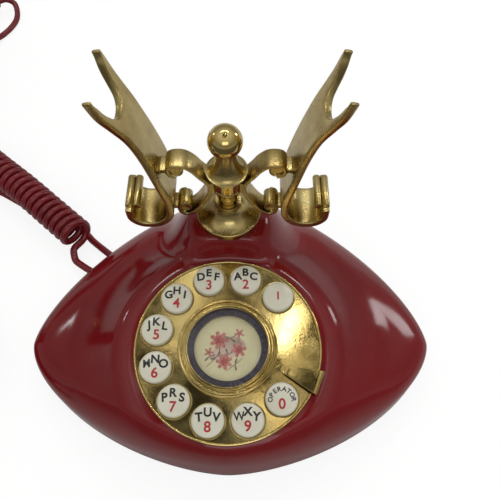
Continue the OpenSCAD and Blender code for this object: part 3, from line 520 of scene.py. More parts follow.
def body_part(turns=320, rings=96):
    """The outer skin from the dial's opening to the rim, and the foot under it."""
    columns = []
    for t in np.linspace(0, 2 * pi, turns + 1)[:-1]:
        a = t - TIP_CROWDING * sin(2 * t)
        edge = np.array([plan_r(a) * cos(a), plan_r(a) * sin(a)])
        front = max(-sin(a), 0) ** FRONT_SHARPNESS
        roll = ROLL + (FRONT_ROLL - ROLL) * front
        band = BAND + (FRONT_BAND - BAND) * front
        x, y = seat(a, OPENING)
        column = [[x, y, dial_plane(y) - 2.4], [x, y, dial_plane(y)]]
        start = seat(a, BOSS_FLAT)
        for i in range(rings + 1):
            share = 1 - (1 - i / rings) ** RIM_CROWDING
            p = start + share * (edge - start)
            u = float(norm(edge - p))
            crown = crown_z(p[0], p[1])
            top = 1 if u >= roll else math.sqrt(max(1 - (1 - u / roll) ** 2, 0))
            column.append([p[0], p[1], min(crown, band + (crown - band) * top)])
        inward = -edge / norm(edge)
        foot = column[-1][2]
        for share in (0.25, 0.5, 0.75):
            column.append([edge[0], edge[1], foot + (FOOT_Z - foot) * share])
        for inset, z in ((0, FOOT_Z), (0.15, 2.15), (0.5, 2), (2.5, 2), (2.5, 7)):
            column.append([edge[0] + inward[0] * inset, edge[1] + inward[1] * inset, z])
        columns.append(column)
    depth = len(columns[0])
    faces = []
    for k in range(turns):
        j = (k + 1) % turns
        for i in range(depth - 1):
            faces.append([k * depth + i, k * depth + i + 1, j * depth + i + 1, j * depth + i])
    return [p for column in columns for p in column], faces


dressed("body_moulding", body_part(), RED, "base", ["body_shell"], "body_plastic", 50)


# ---------------------------------------- gilt turned parts
def on_axis(profile, corner=0.25):
    return moved(lathe(rounded(profile, corner)), (0, CRADLE_Y, 0))


def flare(neck, rim, low, high):
    """A concave sweep from a rim up to a neck."""
    return [[neck + (rim - neck) * (1 - sin(q)), high - (high - low) * cos(q)]
            for q in np.linspace(0, pi / 2, 15)]


BALL_Z, BALL_R, FINIAL_TOP = 106.3, 6.55, 101.19
dressed("cradle_bell_turned", on_axis(
    [[0, 57], [12.2, 57], [12.2, 60.4], [12.8, 61.1], [13.4, 61.4], [13.4, 61.8]]
    + flare(5.5, 13.1, 62.1, 70) + [[3.6, 70], [3.6, 66]], corner=0.12),
    GILT_SATIN, "base", ["cradle_bell"], "gilt")
dressed("waist_turned", on_axis([
    [3.4, 74.2], [3.6, 73.4], [4.3, 73.4], [4.6, 74], [4.6, 77], [5.4, 78.8], [6.1, 79.3],
    [6.1, 80.3], [5.8, 80.7], [5.8, 86.2], [5.2, 87], [3.4, 87]]), GILT, "cradle",
    ["waist_collar"], "gilt")
dressed("finial_turned", on_axis(
    [[0, 87], [4.6, 87], [5, 88.2], [7.6, 88.8], [8.4, 89.2], [8.4, 89.7]]
    + flare(4, 8.2, 89.9, FINIAL_TOP) + [[0, FINIAL_TOP]], corner=0.12), GILT_SATIN, "cradle",
    ["finial_disc"], "gilt")
ball = [[0, FINIAL_TOP], [4.1, FINIAL_TOP]]
ball += [[BALL_R * cos(q), BALL_Z + BALL_R * sin(q)]
         for q in np.linspace(-0.89, 1.5, 32)] + [[0, BALL_Z + BALL_R]]
dressed("ball_turned", moved(lathe(ball, 96), (0, CRADLE_Y, 0)), GILT, "cradle", ["ball_knob"],
        "gilt")


# ---------------------------------------- gilt ribbons and arms
def frames_along(line):
    """Unit normals of a flat line in the XZ plane."""
    d = np.gradient(np.array(line), axis=0)
    d /= norm(d, axis=1)[:, None]
    return np.stack([-d[:, 1], d[:, 0]], 1)


def ribbon_part(line, half_b, t, side, edge=0.45):
    """A strap of metal with eased edges, bent along a line seen from the front."""
    line = resample(line, 0.6)
    normals = frames_along(line)
    section = []
    for sy, sw in ((1, 1), (-1, 1), (-1, -1), (1, -1)):
        y, w = sy * (half_b - edge), sw * (t / 2 - edge)
        pts = [(y + sy * edge * cos(q), w + sw * edge * sin(q))
               for q in np.linspace(0, pi / 2, 5)]
        section += pts if (sy, sw) in ((1, 1), (-1, -1)) else pts[::-1]
    points = []
    for (x, z), nrm in zip(line, normals):
        for y, w in section:
            points.append([side * (x + nrm[0] * w), CRADLE_Y + y, z + nrm[1] * w])
    return points, skin(len(line), len(section))


ARM_LINE = spline([
    [39.3, 75.5], [38.8, 69], [34.6, 65.2], [28, 65.7], [23.5, 70.7], [22.8, 79], [24.8, 88],
    [27.4, 98], [30.2, 108], [33, 116], [36.3, 123], [39.3, 130], [41.6, 139.5]], 10)
SCROLL_LINE = spline([
    [19.2, 90.3], [21.4, 91.2], [22.3, 93.4], [21.4, 95.6], [19.2, 96.5], [15.8, 96.1],
    [12.7, 93.4], [10.5, 90], [8.3, 87], [6.9, 84.6], [6.8, 81.4], [7.7, 77.6], [9.7, 73.2],
    [12, 69.2], [14.4, 66.4], [16.9, 65.1], [19.1, 66.3], [19.9, 69], [19.1, 71.4],
    [17.2, 72.2]], 6)
ARM_T, BEAD_R, BEAD_HALF, SCROLL_B = 3, 1.6, 7.5, 4.3
FRONT_EDGE = spline([[9.7, 60], [9.6, 78], [9.2, 91], [8.1, 103], [8.1, 113.6], [9.6, 122.6],
                     [11.2, 129.6], [12.2, 137.2]], 8)
REAR_EDGE = spline([[8.4, 60], [8.8, 76], [10.3, 87], [11, 98], [11, 111.6], [12.2, 121.6],
                    [13.2, 129.6], [12.8, 135], [12.2, 137.2]], 8)
NOTCH = spline([[10.9, 137.2], [10.5, 135.4], [9.5, 133], [8, 128.1], [6.1, 124.2], [4.4, 122.6],
                [2.3, 121.8], [0, 121.6]], 5)
TIP_R = 0.65


def arm_outline(end, s_at, reach):
    """The arm laid flat: its rear half, then its front half mirrored, as lengths and widths."""
    middle = NOTCH[0][0] + TIP_R
    halves = []
    for edge in (REAR_EDGE, FRONT_EDGE):
        half = [(s, reach(s, edge)) for s in np.linspace(0, end - 0.2, 130)]
        half += [(end + TIP_R * sin(q), middle + TIP_R * cos(q))
                 for q in np.linspace(0, pi, 9)]
        half += [(s_at(z), w) for w, z in NOTCH[1:]]
        halves.append(half)
    return np.array(halves[0] + [(s, -v) for s, v in halves[1][-2::-1]])


def inward_of(outline):
    """Unit vectors that point into a closed outline from its corners."""
    d = np.roll(outline, -1, axis=0) - np.roll(outline, 1, axis=0)
    d /= norm(d, axis=1)[:, None]
    area = np.sum(outline[:, 0] * np.roll(outline[:, 1], -1)
                  - outline[:, 1] * np.roll(outline[:, 0], -1))
    return np.stack([-d[:, 1], d[:, 0]], 1) * (1 if area > 0 else -1)


def arm_part(side):
    """A forked arm: its flat outline, bent along the arm's line and given eased edges."""
    line = resample(ARM_LINE, 0.4)
    arc = arc_of(line)
    normals = frames_along(line)
    low = int(np.argmin(line[:, 1]))

    def s_at(z):
        return float(np.interp(z, line[low:, 1], arc[low:]))

    def reach(s, edge):
        z = float(np.interp(s, arc[low:], line[low:, 1])) if s > arc[low] else 60
        return float(np.interp(z, edge[:, 1], edge[:, 0]))

    def notch_w(s):
        z = float(np.interp(s, arc[low:], line[low:, 1]))
        return float(np.interp(z, NOTCH[::-1, 1], NOTCH[::-1, 0])) if z > NOTCH[-1][1] else -9

    end = s_at(NOTCH[0][1])
    outline = arm_outline(end, s_at, reach)
    inward = inward_of(outline)
    room = np.array([
        min(max(reach(s, REAR_EDGE if v > 0 else FRONT_EDGE) - max(notch_w(s), 0), 1.1), 1.7)
        if s > s_at(NOTCH[-1][1]) else 1.7 for s, v in outline])
    ease_in = 0.41 * room
    rings = [(0, ARM_T / 2 - 0.7), (0.14, ARM_T / 2 - 0.35), (0.43, ARM_T / 2 - 0.12),
             (1, ARM_T / 2)]
    points = []

    def put(s, v, w):
        s = min(max(s, 0), arc[-1])
        x, z = np.interp(s, arc, line[:, 0]), np.interp(s, arc, line[:, 1])
        nx, nz = np.interp(s, arc, normals[:, 0]), np.interp(s, arc, normals[:, 1])
        points.append([side * (x + nx * w), CRADLE_Y + v, z + nz * w])

    count = len(outline)
    order = rings[::-1] + [(inset, -w) for inset, w in rings]
    for inset, w in order:
        for (s, v), q, e in zip(outline, inward, ease_in):
            put(s + q[0] * inset * e, v + q[1] * inset * e, w)
    faces = walls(len(order), count)
    inner = outline + inward * ease_in[:, None]
    grid = [(s, v) for s in np.arange(0.9, end - 1, 0.9)
            for v in np.linspace(1.6 - reach(s, FRONT_EDGE), reach(s, REAR_EDGE) - 1.6, 9)
            if abs(v) > notch_w(s + 1) + 1]
    flat = [Vector((float(a), float(b))) for a, b in list(inner) + grid]
    bounds = [(k, (k + 1) % count) for k in range(count)]
    verts, _, tris, _, _, _ = geometry.delaunay_2d_cdt(flat, bounds, [list(range(count))], 1, 1e-4)
    for w, flip in ((ARM_T / 2, False), (-ARM_T / 2, True)):
        base = len(points)
        for v in verts:
            put(v.x, v.y, w)
        for t in tris:
            faces.append([base + i for i in (t[::-1] if flip else t)])
    return points, faces


def roll_part(side, x, z, r, h, dish=0.0):
    """A closed roll across a strap, with eased ends that may be dished."""
    profile = [[0, dish - h], [r - 0.7, dish - h], [r - 0.35, 0.1 - h], [r - 0.12, 0.15 - h],
               [r, 0.45 - h]]
    profile += [[q, -v] for q, v in profile[::-1]]
    return transformed(lathe(profile, 48), shift(side * x, CRADLE_Y, z) @ spin(pi / 2, "X"))


for side, tag in ((1, "right"), (-1, "left")):
    for name, parts, node in (
            (tag + "_arm_forged", [arm_part(side)] + [
                roll_part(side, x, 75.5, BEAD_R, BEAD_HALF) for x in (36.2, 39.3)], tag + "_arm"),
            (tag + "_scroll_forged", [
                ribbon_part(SCROLL_LINE, SCROLL_B, 1.7, side),
                roll_part(side, 19.2, 93.4, 3.1, SCROLL_B - 0.35, 0.5),
                roll_part(side, 17.2, 70, 2.5, SCROLL_B - 0.2, 0.3),
                ribbon_part([[5.7, 81], [5.7, 86.1]], SCROLL_B - 0.1, 1.4, side, 0.2),
                ribbon_part([[22, 93], [25.1, 93]], SCROLL_B - 0.8, 2, side, 0.3),
                ribbon_part([[19.6, 69.3], [22.5, 69.3]], SCROLL_B - 0.8, 1.8, side, 0.3)],
             tag + "_scroll")):
        joined(name, parts, GILT_SATIN, "cradle", [node], "gilt")


# ---------------------------------------- dial
DIAL = shift(0, -DIAL_FRONT, DIAL_Z) @ spin(TILT, "X")
KEY_RING, KEY_R, KEY_H = 29.7, 6.4, 3
KEY_DOME, KEY_DOME_Z, KEY_DOME_REACH = 0.42, 2.58, 0.86
FIRST_KEY, KEY_STEP = 46, 30
INK_LIFT, LETTER_EDGE = 0.04, 0.8
LETTER_STEP, LETTER_TURN, WORD_Y, WORD_DROP = 3.35, 0.1, 3, 1.8
ROUND_STEP, ROUND_R, ROUND_Y = 0.42, 4.6, -0.9
PLATE_FLAT, PLATE_HOLE, KEY_GAP, HOLE_EDGE = 36.9, 16.9, 0.15, 0.25


def dial_part(part):
    return transformed(part, DIAL)


def key_middle(i):
    """Where a key's middle stands on the dial."""
    a = radians(FIRST_KEY + KEY_STEP * i)
    return KEY_RING * cos(a), KEY_RING * sin(a)


def plate_part():
    """The gilt plate with its holes, its raised rim and its middle opening."""
    flat, edges = [], []

    def loop(points):
        base = len(flat)
        flat.extend(Vector(p) for p in points)
        edges.extend((base + k, base + (k + 1) % len(points)) for k in range(len(points)))

    holes = [(PLATE_HOLE, 96, 0, 0)]
    holes += [(KEY_R + KEY_GAP, 64, *key_middle(i)) for i in range(10)]
    loop(circle(PLATE_FLAT, 160))
    for r, n, cx, cy in holes:
        loop([(cx + x, cy + y) for x, y in circle(r + HOLE_EDGE, n)])
        flat.extend(Vector((cx + x, cy + y)) for x, y in circle(r + 0.6, n))
    flat.extend(Vector(p) for p in circle(PLATE_FLAT - 0.35, 160))
    for r in (20, 23, 35):
        flat.extend(Vector(p) for p in circle(r, 96)
                    if all(hypot(p[0] - h[2], p[1] - h[3]) > h[0] + 0.8 for h in holes))
    verts, _, tris, _, _, _ = geometry.delaunay_2d_cdt(flat, edges, [], 0, 1e-4)
    keep = []
    for t in tris:
        c = sum((verts[i] for i in t), Vector((0, 0))) / 3
        if c.length < PLATE_FLAT and all(
                hypot(c.x - h[2], c.y - h[3]) > h[0] + 0.2 for h in holes):
            keep.append(t)
    parts = [([[v.x, v.y, 0] for v in verts], keep)]
    for r, n, cx, cy in holes:
        edge = [[r + HOLE_EDGE, 0], [r + 0.07, -0.06], [r, -0.25], [r, -DIAL_T]]
        parts.append(moved(lathe(edge, n), (cx, cy, 0)))
    parts.append(lathe([[PLATE_FLAT, 0], [37.05, 0.25], [37.25, 0.5], [37.5, 0.6], [37.7, 0.58],
                        [37.9, 0.45], [38, 0.2], [38, -DIAL_T], [17, -DIAL_T]], 160))
    return parts


plate = joined("dial_plate_pressed", map(dial_part, plate_part()), GILT, "base", ["dial_plate"],
               "gilt")
even = plate.modifiers.new("even_shading", "WEIGHTED_NORMAL")
even.keep_sharp = True
even.weight = 90
dressed("medallion_bezel_turned", dial_part(lathe(rounded([
    [16.7, -0.1], [20.2, -0.1], [20.2, 1.3], [19.8, 1.7], [19.1, 1.7], [18.8, 2], [18.5, 1.3],
    [17.7, 1.3], [17.4, 2.2], [16.2, 2.2], [16.2, 1.6], [16.7, 1.6], [16.7, -0.1]], 0.16), 160)),
    GILT, "base", ["medallion_bezel"], "gilt")


def key_top(q):
    """The height of a key's dome at a share of its radius from its middle."""
    return KEY_DOME_Z + KEY_DOME * (1 - (q / KEY_DOME_REACH) ** 2)


key_profile = [[0, -2.55], [KEY_R - 0.2, -2.55], [KEY_R, -2.35], [KEY_R, 1.6]]
key_profile += [[KEY_R - 0.95 + 0.95 * cos(radians(a)),
                 1.6 + 0.95 * sin(radians(a))] for a in range(12, 79, 12)]
key_profile += [[KEY_R * q, key_top(q)]
                for q in (0.84, 0.75, 0.65, 0.52, 0.38, 0.24, 0.12)] + [[0, KEY_H]]


def letters(text, size, bold=0.0):
    """Points and faces of a flat word, in millimetres, centred on its own middle."""
    curve = bpy.data.curves.new("word", "FONT")
    curve.body, curve.size, curve.offset = text, size, bold
    curve.align_x, curve.align_y = "CENTER", "CENTER"
    curve.resolution_u = 6
    obj = linked("word", curve)
    bpy.context.view_layer.update()
    final = obj.evaluated_get(bpy.context.evaluated_depsgraph_get())
    mesh = bpy.data.meshes.new_from_object(final)
    bm = bmesh.new()
    bm.from_mesh(mesh)
    bmesh.ops.triangulate(bm, faces=bm.faces)
    for _ in range(3):
        long = [e for e in bm.edges if e.calc_length() > LETTER_EDGE]
        if long:
            bmesh.ops.subdivide_edges(bm, edges=long, cuts=1)
            bmesh.ops.triangulate(bm, faces=bm.faces)
    points = np.array([list(v.co) for v in bm.verts])
    faces = [[v.index for v in f.verts] for f in bm.faces]
    bm.free()
    bpy.data.objects.remove(obj)
    bpy.data.meshes.remove(mesh)
    bpy.data.curves.remove(curve)
    mid = (points.min(0) + points.max(0)) / 2
    return points - mid, faces


def on_key(part, i):
    """Lays a flat word on a key's domed top."""
    points, faces = part
    x, y = key_middle(i)
    out = [[x + p[0], y + p[1], key_top(hypot(p[0], p[1]) / KEY_R) + INK_LIFT]
           for p in points]
    return dial_part((out, faces))


def placed(part, x, y, turn=0.0, z=0):
    """A flat part turned about its own origin and moved."""
    points, faces = part
    c, s = cos(turn), sin(turn)
    return [[x + c * p[0] - s * p[1], y + s * p[0] + c * p[1], z] for p in points], faces


WORDS = {"1": "", "2": "ABC", "3": "DEF", "4": "GHI", "5": "JKL", "6": "MNO", "7": "PRS",
         "8": "TUV", "9": "WXY", "0": "OPERATOR"}
for i, (digit, word) in enumerate(WORDS.items()):
    name, riding = "key_" + digit, "key_" + digit + "_body"
    place = shift(*key_middle(i), 0)
    cap = transformed(lathe(key_profile, 72), place)
    stem = transformed(lathe([[0, -2.5], [3, -2.5], [3, -7.2], [2.8, -7.5], [0, -7.5]], 40), place)
    ear_box = [[x, y, z] for x in (-8.4, -5) for y in (-3, 3) for z in (-2.55, -1.35)]
    ear = transformed((ear_box, [[0, 1, 3, 2], [4, 6, 7, 5], [0, 4, 5, 1], [2, 3, 7, 6],
                                 [0, 2, 6, 4], [1, 5, 7, 3]]),
                      spin(radians(FIRST_KEY + KEY_STEP * i), "Z") @ shift(KEY_RING, 0, 0))
    joined(name + "_cap", map(dial_part, (cap, stem, ear)), CREAM, riding, [name], "key_cream")
    low = {"1": 0, "0": -2}.get(digit, -2.4)
    number = letters(digit, 4.8 if digit == "1" else 5.6, 0.12)
    dressed(name + "_digit", on_key(placed(number, 0, low), i), RED_INK, riding)
    if not word:
        continue
    parts = []
    for j, letter in enumerate(word):
        k = j - (len(word) - 1) / 2
        if digit == "0":
            turn = -ROUND_STEP * k
            x, y = -ROUND_R * sin(turn), ROUND_Y + ROUND_R * cos(turn)
            glyph = letters(letter, 2.6, 0.07)
        else:
            turn = -LETTER_TURN * k
            x, y = LETTER_STEP * k, WORD_Y - WORD_DROP * abs(k)
            glyph = letters(letter, 4.7, 0.1 if letter in "MW" else 0.17)
            if letter in "MW":
                glyph = glyph[0] * [0.86, 1, 1], glyph[1]
        parts.append(on_key(placed(glyph, x, y, turn), i))
    joined(name + "_letters", parts, BLACK_INK, riding)


# ---------------------------------------- generic picture
def petal(cx, cy, turn, length, width, z, n=14):
    """A flat leaf or petal on the card."""
    pts = []
    for k in range(n):
        t = k / n * 2 * pi
        u = (1 - cos(t)) / 2
        v = sin(t) * width / 2 * (0.55 + 0.45 * u)
        pts.append((u * length, v))
    return placed((pts, [list(range(n))]), cx, cy, turn, z)


CARD_Z = -0.8


def stroke(points, width, z):
    """A thin tapering brush line on the card."""
    line = spline(points, 8)
    side = frames_along(line)
    size = width * np.sin(np.linspace(0.15, pi - 0.15, len(line)))
    pts = [[p[0] + e * n[0] * w / 2, p[1] + e * n[1] * w / 2, z]
           for e in (1, -1) for p, n, w in zip(line, side, size)]
    n = len(line)
    return pts, [[i, i + 1, n + i + 1, n + i] for i in range(n - 1)]


washes, pinks, roses, leaves = [], [], [], []
for cx, cy, turn, length, width in ((-7, -4, 0.5, 15, 10), (-4, 4, -0.3, 12, 7)):
    washes.append(petal(cx, cy, turn, length, width, CARD_Z + 0.01, 40))
for cx, cy, size, count in ((-3.6, 3.4, 3.6, 7), (4.4, -0.6, 3.0, 6), (-1.4, -5.4, 3.2, 7),
                            (4.6, 6.2, 1.9, 5), (-7.6, -1.6, 1.8, 5)):
    for k in range(count):
        turn = k * 2 * pi / count + cx
        pinks.append(petal(cx + 0.3 * cos(turn), cy + 0.3 * sin(turn), turn, size,
                           size * 0.62, CARD_Z + 0.02))
        roses.append(petal(cx, cy, turn + 0.4, size * 0.6, size * 0.3, CARD_Z + 0.03))
for k, (points, width) in enumerate((
        ([(-9, -8), (-4.5, -3.5), (-3.2, 0), (-3.6, 3)], 0.5),
        ([(-4.2, -3.2), (0, -2.4), (4, -0.8)], 0.45),
        ([(-3, 1.5), (1, 4.2), (4.4, 6)], 0.4),
        ([(-6, -5), (-7.4, -3.4), (-7.6, -1.8)], 0.35),
        ([(6.5, -3.5), (3, -6.6), (-1, -9.5)], 0.35))):
    leaves.append(stroke(points, width, CARD_Z + 0.015))
    x, y = points[1]
    for turn in (0.9 + k, 3.6 + k):
        leaves.append(petal(x, y, turn, 2.6, 1.0, CARD_Z + 0.016))
for name, parts, mat in (("picture_wash", washes, WASH), ("picture_petals", pinks, PINK),
                         ("picture_hearts", roses, ROSE), ("picture_leaves", leaves, LEAF)):
    joined(name, map(dial_part, parts), mat, "base", (), "card")


# ---------------------------------------- finger stop
STOP_ANGLE = radians(-22)
STOP_IN, STOP_OUT, STOP_TIP, STOP_ROOT = 21.4, 39, 0.8, 4.9


def stop_part():
    """The bent gilt tongue that reaches in over the dial, folded over the rim."""
    centre = [(21, 0.35), (23.4, 0.45), (24.6, 0.9), (26, 1.7), (37.2, 2.6), (38.4, 2.6),
              (39.1, 2.1), (39.2, 1.2), (39.2, -0.6), (39.2, -1.1)]
    line = resample(spline(centre, 6), 0.35)
    normals = frames_along(line)
    points = []
    for (r, z), nrm in zip(line, normals):
        q = min(max((r - STOP_IN) / (STOP_OUT - STOP_IN), 0), 1)
        half = STOP_TIP + (STOP_ROOT - STOP_TIP) * q
        section = [(half, 0.3), (half - 0.15, 0.45), (0, 0.5), (0.15 - half, 0.45), (-half, 0.3),
                   (-half, -0.3), (0.15 - half, -0.45), (half - 0.15, -0.45), (half, -0.3)]
        for y, w in section:
            points.append([r + nrm[0] * w, y, z + nrm[1] * w])
    faces = skin(len(line), len(section))
    return dial_part(transformed((points, faces), spin(STOP_ANGLE, "Z")))


dressed("finger_stop_bent", stop_part(), GILT, "base", ["finger_stop"], "gilt", 40)


# ---------------------------------------- handset
HANDSET = shift(-190, 139, 0) @ spin(radians(-4), "Z")
HANDLE_HALF, HANDLE_Z, CUP_HALF_SPAN, CUP_NECK_Y = 58, 40, 89, 69
GLAND_Z, GLAND_ANGLE, GLAND_OUT = 8, radians(41), 22


def along_handset(part, y, turn):
    return transformed(part, HANDSET @ shift(0, y, HANDLE_Z) @ spin(turn, "X"))


handle = [[0, 0]] + [[6.8 + 2.2 * sin(pi * s), 2 * HANDLE_HALF * s]
                     for s in np.linspace(0, 1, 49)] + [[0, 2 * HANDLE_HALF]]
dressed("handle_moulded", along_handset(lathe(handle, 96), -HANDLE_HALF, -pi / 2), RED,
        "handset", ["handle"], "body_plastic")
ferrule = rounded([[0, 0], [7.2, 0], [8.2, 1], [8.2, 3], [7, 4], [6.6, 8], [7.8, 9], [7.8, 11],
                   [0, 11]], 0.3)
joined("ferrules_turned", [along_handset(lathe(ferrule, 96), HANDLE_HALF * s, -s * pi / 2)
                           for s in (1, -1)], GILT, "handset", ["handle_ferrules"], "gilt")


def cup_part(side):
    """A moulded cup with a grooved rim, its hub and the neck to the handle."""
    outer = [[0, 8], [21, 8], [21, 0.4], [21.4, 0], [23, 0], [23.7, 0.3], [24, 1], [24, 5],
             [23.4, 6.2], [22.6, 7], [21.6, 12], [20.4, 15.2], [18, 18], [15.6, 20.6], [13, 23],
             [11.6, 25], [11.1, 27], [11.1, 30], [10.4, 31.1], [9.6, 31.5], [9.6, 48], [9, 49],
             [6.6, 50], [0, 50]]
    bowl = transformed(lathe(rounded(outer, 0.6)), HANDSET @ shift(0, side * CUP_HALF_SPAN, 0))
    neck = along_handset(lathe([[0, 0], [6, 0], [6, 20], [0, 20]], 64), side * CUP_NECK_Y,
                         -side * pi / 2)
    return [bowl, neck]


for node, side in (("ear_cup", -1), ("mouth_cup", 1)):
    joined(node + "_moulded", cup_part(side), RED, "handset", [node], "body_plastic")
gland = (HANDSET @ shift(0, CUP_HALF_SPAN, GLAND_Z) @ spin(GLAND_ANGLE, "Z") @ spin(pi / 2, "Y")
         @ shift(0, 0, GLAND_OUT))
dressed("handset_gland", transformed(lathe(rounded([
    [0, 0], [2.5, 0], [2.5, 1.6], [3.4, 1.6], [3.4, 3.2], [2.9, 3.6], [2.9, 4.4], [3.4, 4.8],
    [3.3, 6.4], [2.9, 8], [0, 8]], 0.2), 48), gland), GILT, "handset", ["handset_grommet"], "gilt")


def cord_piece(name, line, body, nodes):
    """A free cord. One that spans two bodies is given no body, and its transform is baked into its
    mesh.
    """
    obj = dressed(name, tube(line, CORD_D / 2, 12), CORD, body, nodes, "cord", 60)
    if not body:
        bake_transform(obj)
    path_length(line) * MM


def grommet(name, angle, node):
    """A tapered strain relief, round the cord where it leaves the body."""
    a = radians(angle)
    at, after, before = (plan_r(t) * np.array([cos(t), sin(t)])
                         for t in (a, a + 0.01, a - 0.01))
    along = after - before
    normal = math.atan2(-along[0], along[1])
    place = shift(at[0], at[1], CORD_EXIT_Z) @ spin(normal, "Z") @ spin(pi / 2, "Y")
    dressed(name, transformed(lathe(rounded([
        [1.75, -3], [2.5, -3], [2.5, 0.3], [3.6, 0.3], [3.6, 1.1], [3.2, 1.5], [2.3, 3],
        [1.75, 3]], 0.25), 48), place), CORD, "base", [node], "cord")


grommet("handset_cord_relief", 150, "handset_cord_grommet")
grommet("line_cord_relief", 141, "line_cord_grommet")


def block(name, boxes, ease_by, mat, slot):
    """Rectangular pieces with eased edges, in one object."""
    bm = bmesh.new()
    for lo, hi in boxes:
        made = bmesh.ops.create_cube(bm, size=1)["verts"]
        for v in made:
            v.co = Vector([((l + h) / 2 + c * (h - l)) * MM for l, h, c in zip(lo, hi, v.co)])
    bmesh.ops.bevel(bm, geom=list(bm.edges), offset=ease_by * MM, segments=2, profile=0.5,
                    affect="EDGES")
    mesh = bpy.data.meshes.new(name)
    bm.to_mesh(mesh)
    bm.free()
    obj = add(name, mesh, "base", (), slot)
    obj.data.materials.append(mat)
    return obj


plug = block("modular_plug", [
    [(-133, -45.8, 0.05), (-116, -34.2, 6.55)], [(-135.8, -43.2, 1.0), (-133, -36.8, 5.6)],
    [(-131, -42.6, 6.55 - 1.3), (-117.2, -37.4, 6.6)]], 0.35, PLUG, "plug_clear")
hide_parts("line_plug")
contacts = block("plug_contacts", [
    [(-121.5, -43 + 1.6 * k, 4.6), (-117, -42.3 + 1.6 * k, 6.3)] for k in range(4)], 0.1, COPPER,
    "gilt")


TIE_X, TIE_Z, TIE_FLAT = 21.4, 7.85, 0.94


def tie_part(steps=40, width=2.2):
    """A flat band looped round one side of the coil, its corners rounded."""
    points, faces = [], []
    for k in range(steps):
        t = 2 * pi * k / steps
        c, s = cos(t), sin(t)
        grow = (abs(c) ** 6 + abs(s) ** 6) ** (-1 / 6)
        for r, w in ((7.9, -width), (8.3, -width), (8.3, width), (7.9, width)):
            points.append([COIL_AT[0] + TIE_X + r * c * grow, COIL_AT[1] + w,
                           TIE_Z + (r * TIE_FLAT) * s * grow])
        j = (k + 1) % steps
        faces += [[4 * k + i, 4 * k + (i + 1) % 4, 4 * j + (i + 1) % 4, 4 * j + i]
                  for i in range(4)]
    return points, faces


tie = dressed("coil_tie", tie_part(), BLACK, "base")

cord_piece("handset_cord_curl", curl_line(), None,
           ["cord_tail_base", "cord_curl", "cord_tail_handset"])
cord_piece("line_cord_run", line_cord_line(), "base", ["line_cord", "line_cord_coil"])


# ---------------------------------------- floor and light
# The floor's dark front tone is painted shade: seen only in reflections, it darkens the body's
# lower wall.
FLOOR_TONE, FRONT_REFLECTION_SHADE = 0.86, 0.12
TONE_FROM_Y, TONE_TO_Y = -0.09, -0.02
GLOW, GLOW_SHARE = 1.15, 0.74
AIM = Vector((0, 0, 0.04))


def add_floor():
    """A pale floor that glows for the camera only. In reflections it carries painted shade, darker
    in front.
    """
    mesh = bpy.data.meshes.new("floor")
    mesh.from_pydata([(-3, -3, 0), (3, -3, 0), (3, 3, 0), (-3, 3, 0)], [], [(0, 1, 2, 3)])
    floor = linked("floor", mesh)
    floor.location.z = -0.1 * MM
    mat = bpy.data.materials.new("pale_floor")
    nodes, links = tree_of(mat)
    shader = nodes["Principled BSDF"]
    shader.inputs["Roughness"].default_value = 0.7
    glow = shader_node(nodes, "Emission", Strength=GLOW)
    ray = nodes.new("ShaderNodeLightPath")
    shiny = nodes.new("ShaderNodeMath")
    shiny.operation = "MAXIMUM"
    links.new(ray.outputs["Is Glossy Ray"], shiny.inputs[0])
    links.new(ray.outputs["Is Transmission Ray"], shiny.inputs[1])
    # painted shade: glossy and transmission rays see the floor darker in front of the body
    tone = nodes.new("ShaderNodeMix")
    tone.data_type = "RGBA"
    tone.inputs["A"].default_value = (FLOOR_TONE, FLOOR_TONE, FLOOR_TONE, 1)
    place = nodes.new("ShaderNodeNewGeometry")
    axes = nodes.new("ShaderNodeSeparateXYZ")
    links.new(place.outputs["Position"], axes.inputs[0])
    depth = shader_node(nodes, "MapRange", From_Min=TONE_FROM_Y, From_Max=TONE_TO_Y,
                        To_Min=FRONT_REFLECTION_SHADE, To_Max=FLOOR_TONE)
    links.new(axes.outputs["Y"], depth.inputs["Value"])
    links.new(depth.outputs["Result"], tone.inputs["B"])
    links.new(shiny.outputs[0], tone.inputs["Factor"])
    links.new(tone.outputs["Result"], shader.inputs["Base Color"])
    share = nodes.new("ShaderNodeMath")
    share.operation = "MULTIPLY"
    share.inputs[1].default_value = GLOW_SHARE
    links.new(ray.outputs["Is Camera Ray"], share.inputs[0])
    mix_into(nodes, links, share.outputs[0], shader, glow, "Material Output")
    mesh.materials.append(mat)


def from_sky(name, azimuth, height, far, size, power):
    """A lamp aimed at the object: its azimuth from the rear to the right and its height are in
    degrees, and far is its distance."""
    a, h = radians(azimuth), radians(height)
    place = Vector((far * sin(a) * cos(h), far * cos(a) * cos(h),
                    far * sin(h)))
    data = bpy.data.lights.new(name, "AREA")
    data.shape = "RECTANGLE"
    data.size, data.size_y = size
    data.energy = power
    lamp = linked(name, data)
    lamp.location = place
    lamp.rotation_euler = (AIM - place).to_track_quat("-Z", "Y").to_euler()


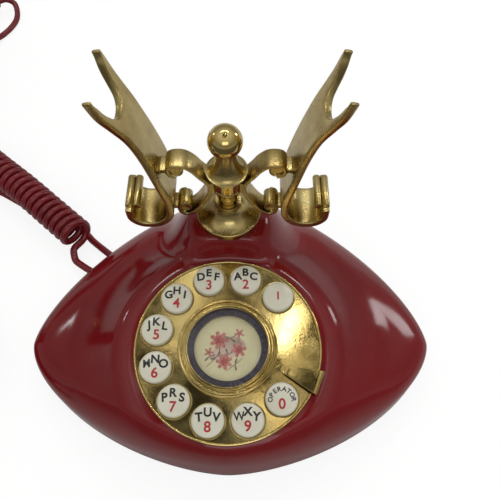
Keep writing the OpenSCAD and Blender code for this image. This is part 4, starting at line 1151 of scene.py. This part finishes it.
add_floor()
from_sky("right_window", 59, 22, 1.0, (0.14, 0.2), 0.6)
from_sky("left_window", -61, 26, 1.0, (0.07, 0.05), 0.16)
from_sky("overhead", 26, 79, 1.1, (0.035, 0.1), 0.09)
from_sky("strip_rear_left", -24, 62, 1.0, (0.3, 0.018), 0.5)
from_sky("strip_rear_right", 24, 62, 1.0, (0.3, 0.018), 0.5)
from_sky("front_fill", 176, 42, 1.1, (0.7, 0.35), 1.2)


def add_room():
    """Light from a mottled grey room, which only the camera sees as plain white."""
    world = bpy.data.worlds.new("room")
    bpy.context.scene.world = world
    nodes, links = tree_of(world)
    where = nodes.new("ShaderNodeTexCoord")
    split = nodes.new("ShaderNodeSeparateXYZ")
    links.new(where.outputs["Generated"], split.inputs[0])
    clutter = shader_node(nodes, "TexNoise", Scale=9, Detail=2)
    links.new(where.outputs["Generated"], clutter.inputs["Vector"])
    room = nodes.new("ShaderNodeMix")
    room.data_type = "RGBA"
    room.blend_type = "MULTIPLY"

    def ramp(source, target, stops):
        node = nodes.new("ShaderNodeValToRGB")
        levels = node.color_ramp.elements
        levels[0].position, levels[1].position = 0.0, 1.0
        for at, level in stops[1:-1]:
            levels.new(at)
        for element, (at, level) in zip(levels, stops):
            element.position = at
            element.color = (level, level * 0.99, level * 0.97, 1)
        links.new(source, node.inputs["Fac"])
        links.new(node.outputs["Color"], room.inputs[target])

    height = split.outputs["Z"]
    ramp(height, "A", ((0, 0.3), (0.1, 0.3), (0.35, 0.25), (0.6, 0.42), (0.82, 0.62), (1, 0.8)))
    ramp(clutter.outputs["Fac"], "B", ((0, 0.02), (0.5, 0.03), (0.56, 0.25), (0.61, 1.7),
                                       (1, 2.2)))
    ramp(height, "Factor", ((0, 0.1), (0.92, 0.14), (0.965, 1), (1, 1)))
    sky = nodes["Background"]
    links.new(room.outputs["Result"], sky.inputs["Color"])
    sky.inputs["Strength"].default_value = 1.2
    white = shader_node(nodes, "Background", Color=(1, 1, 1, 1))
    ray = nodes.new("ShaderNodeLightPath")
    mix_into(nodes, links, ray.outputs["Is Camera Ray"], sky, white, "World Output")


add_room()
bpy.context.scene.view_settings.view_transform = "Standard"
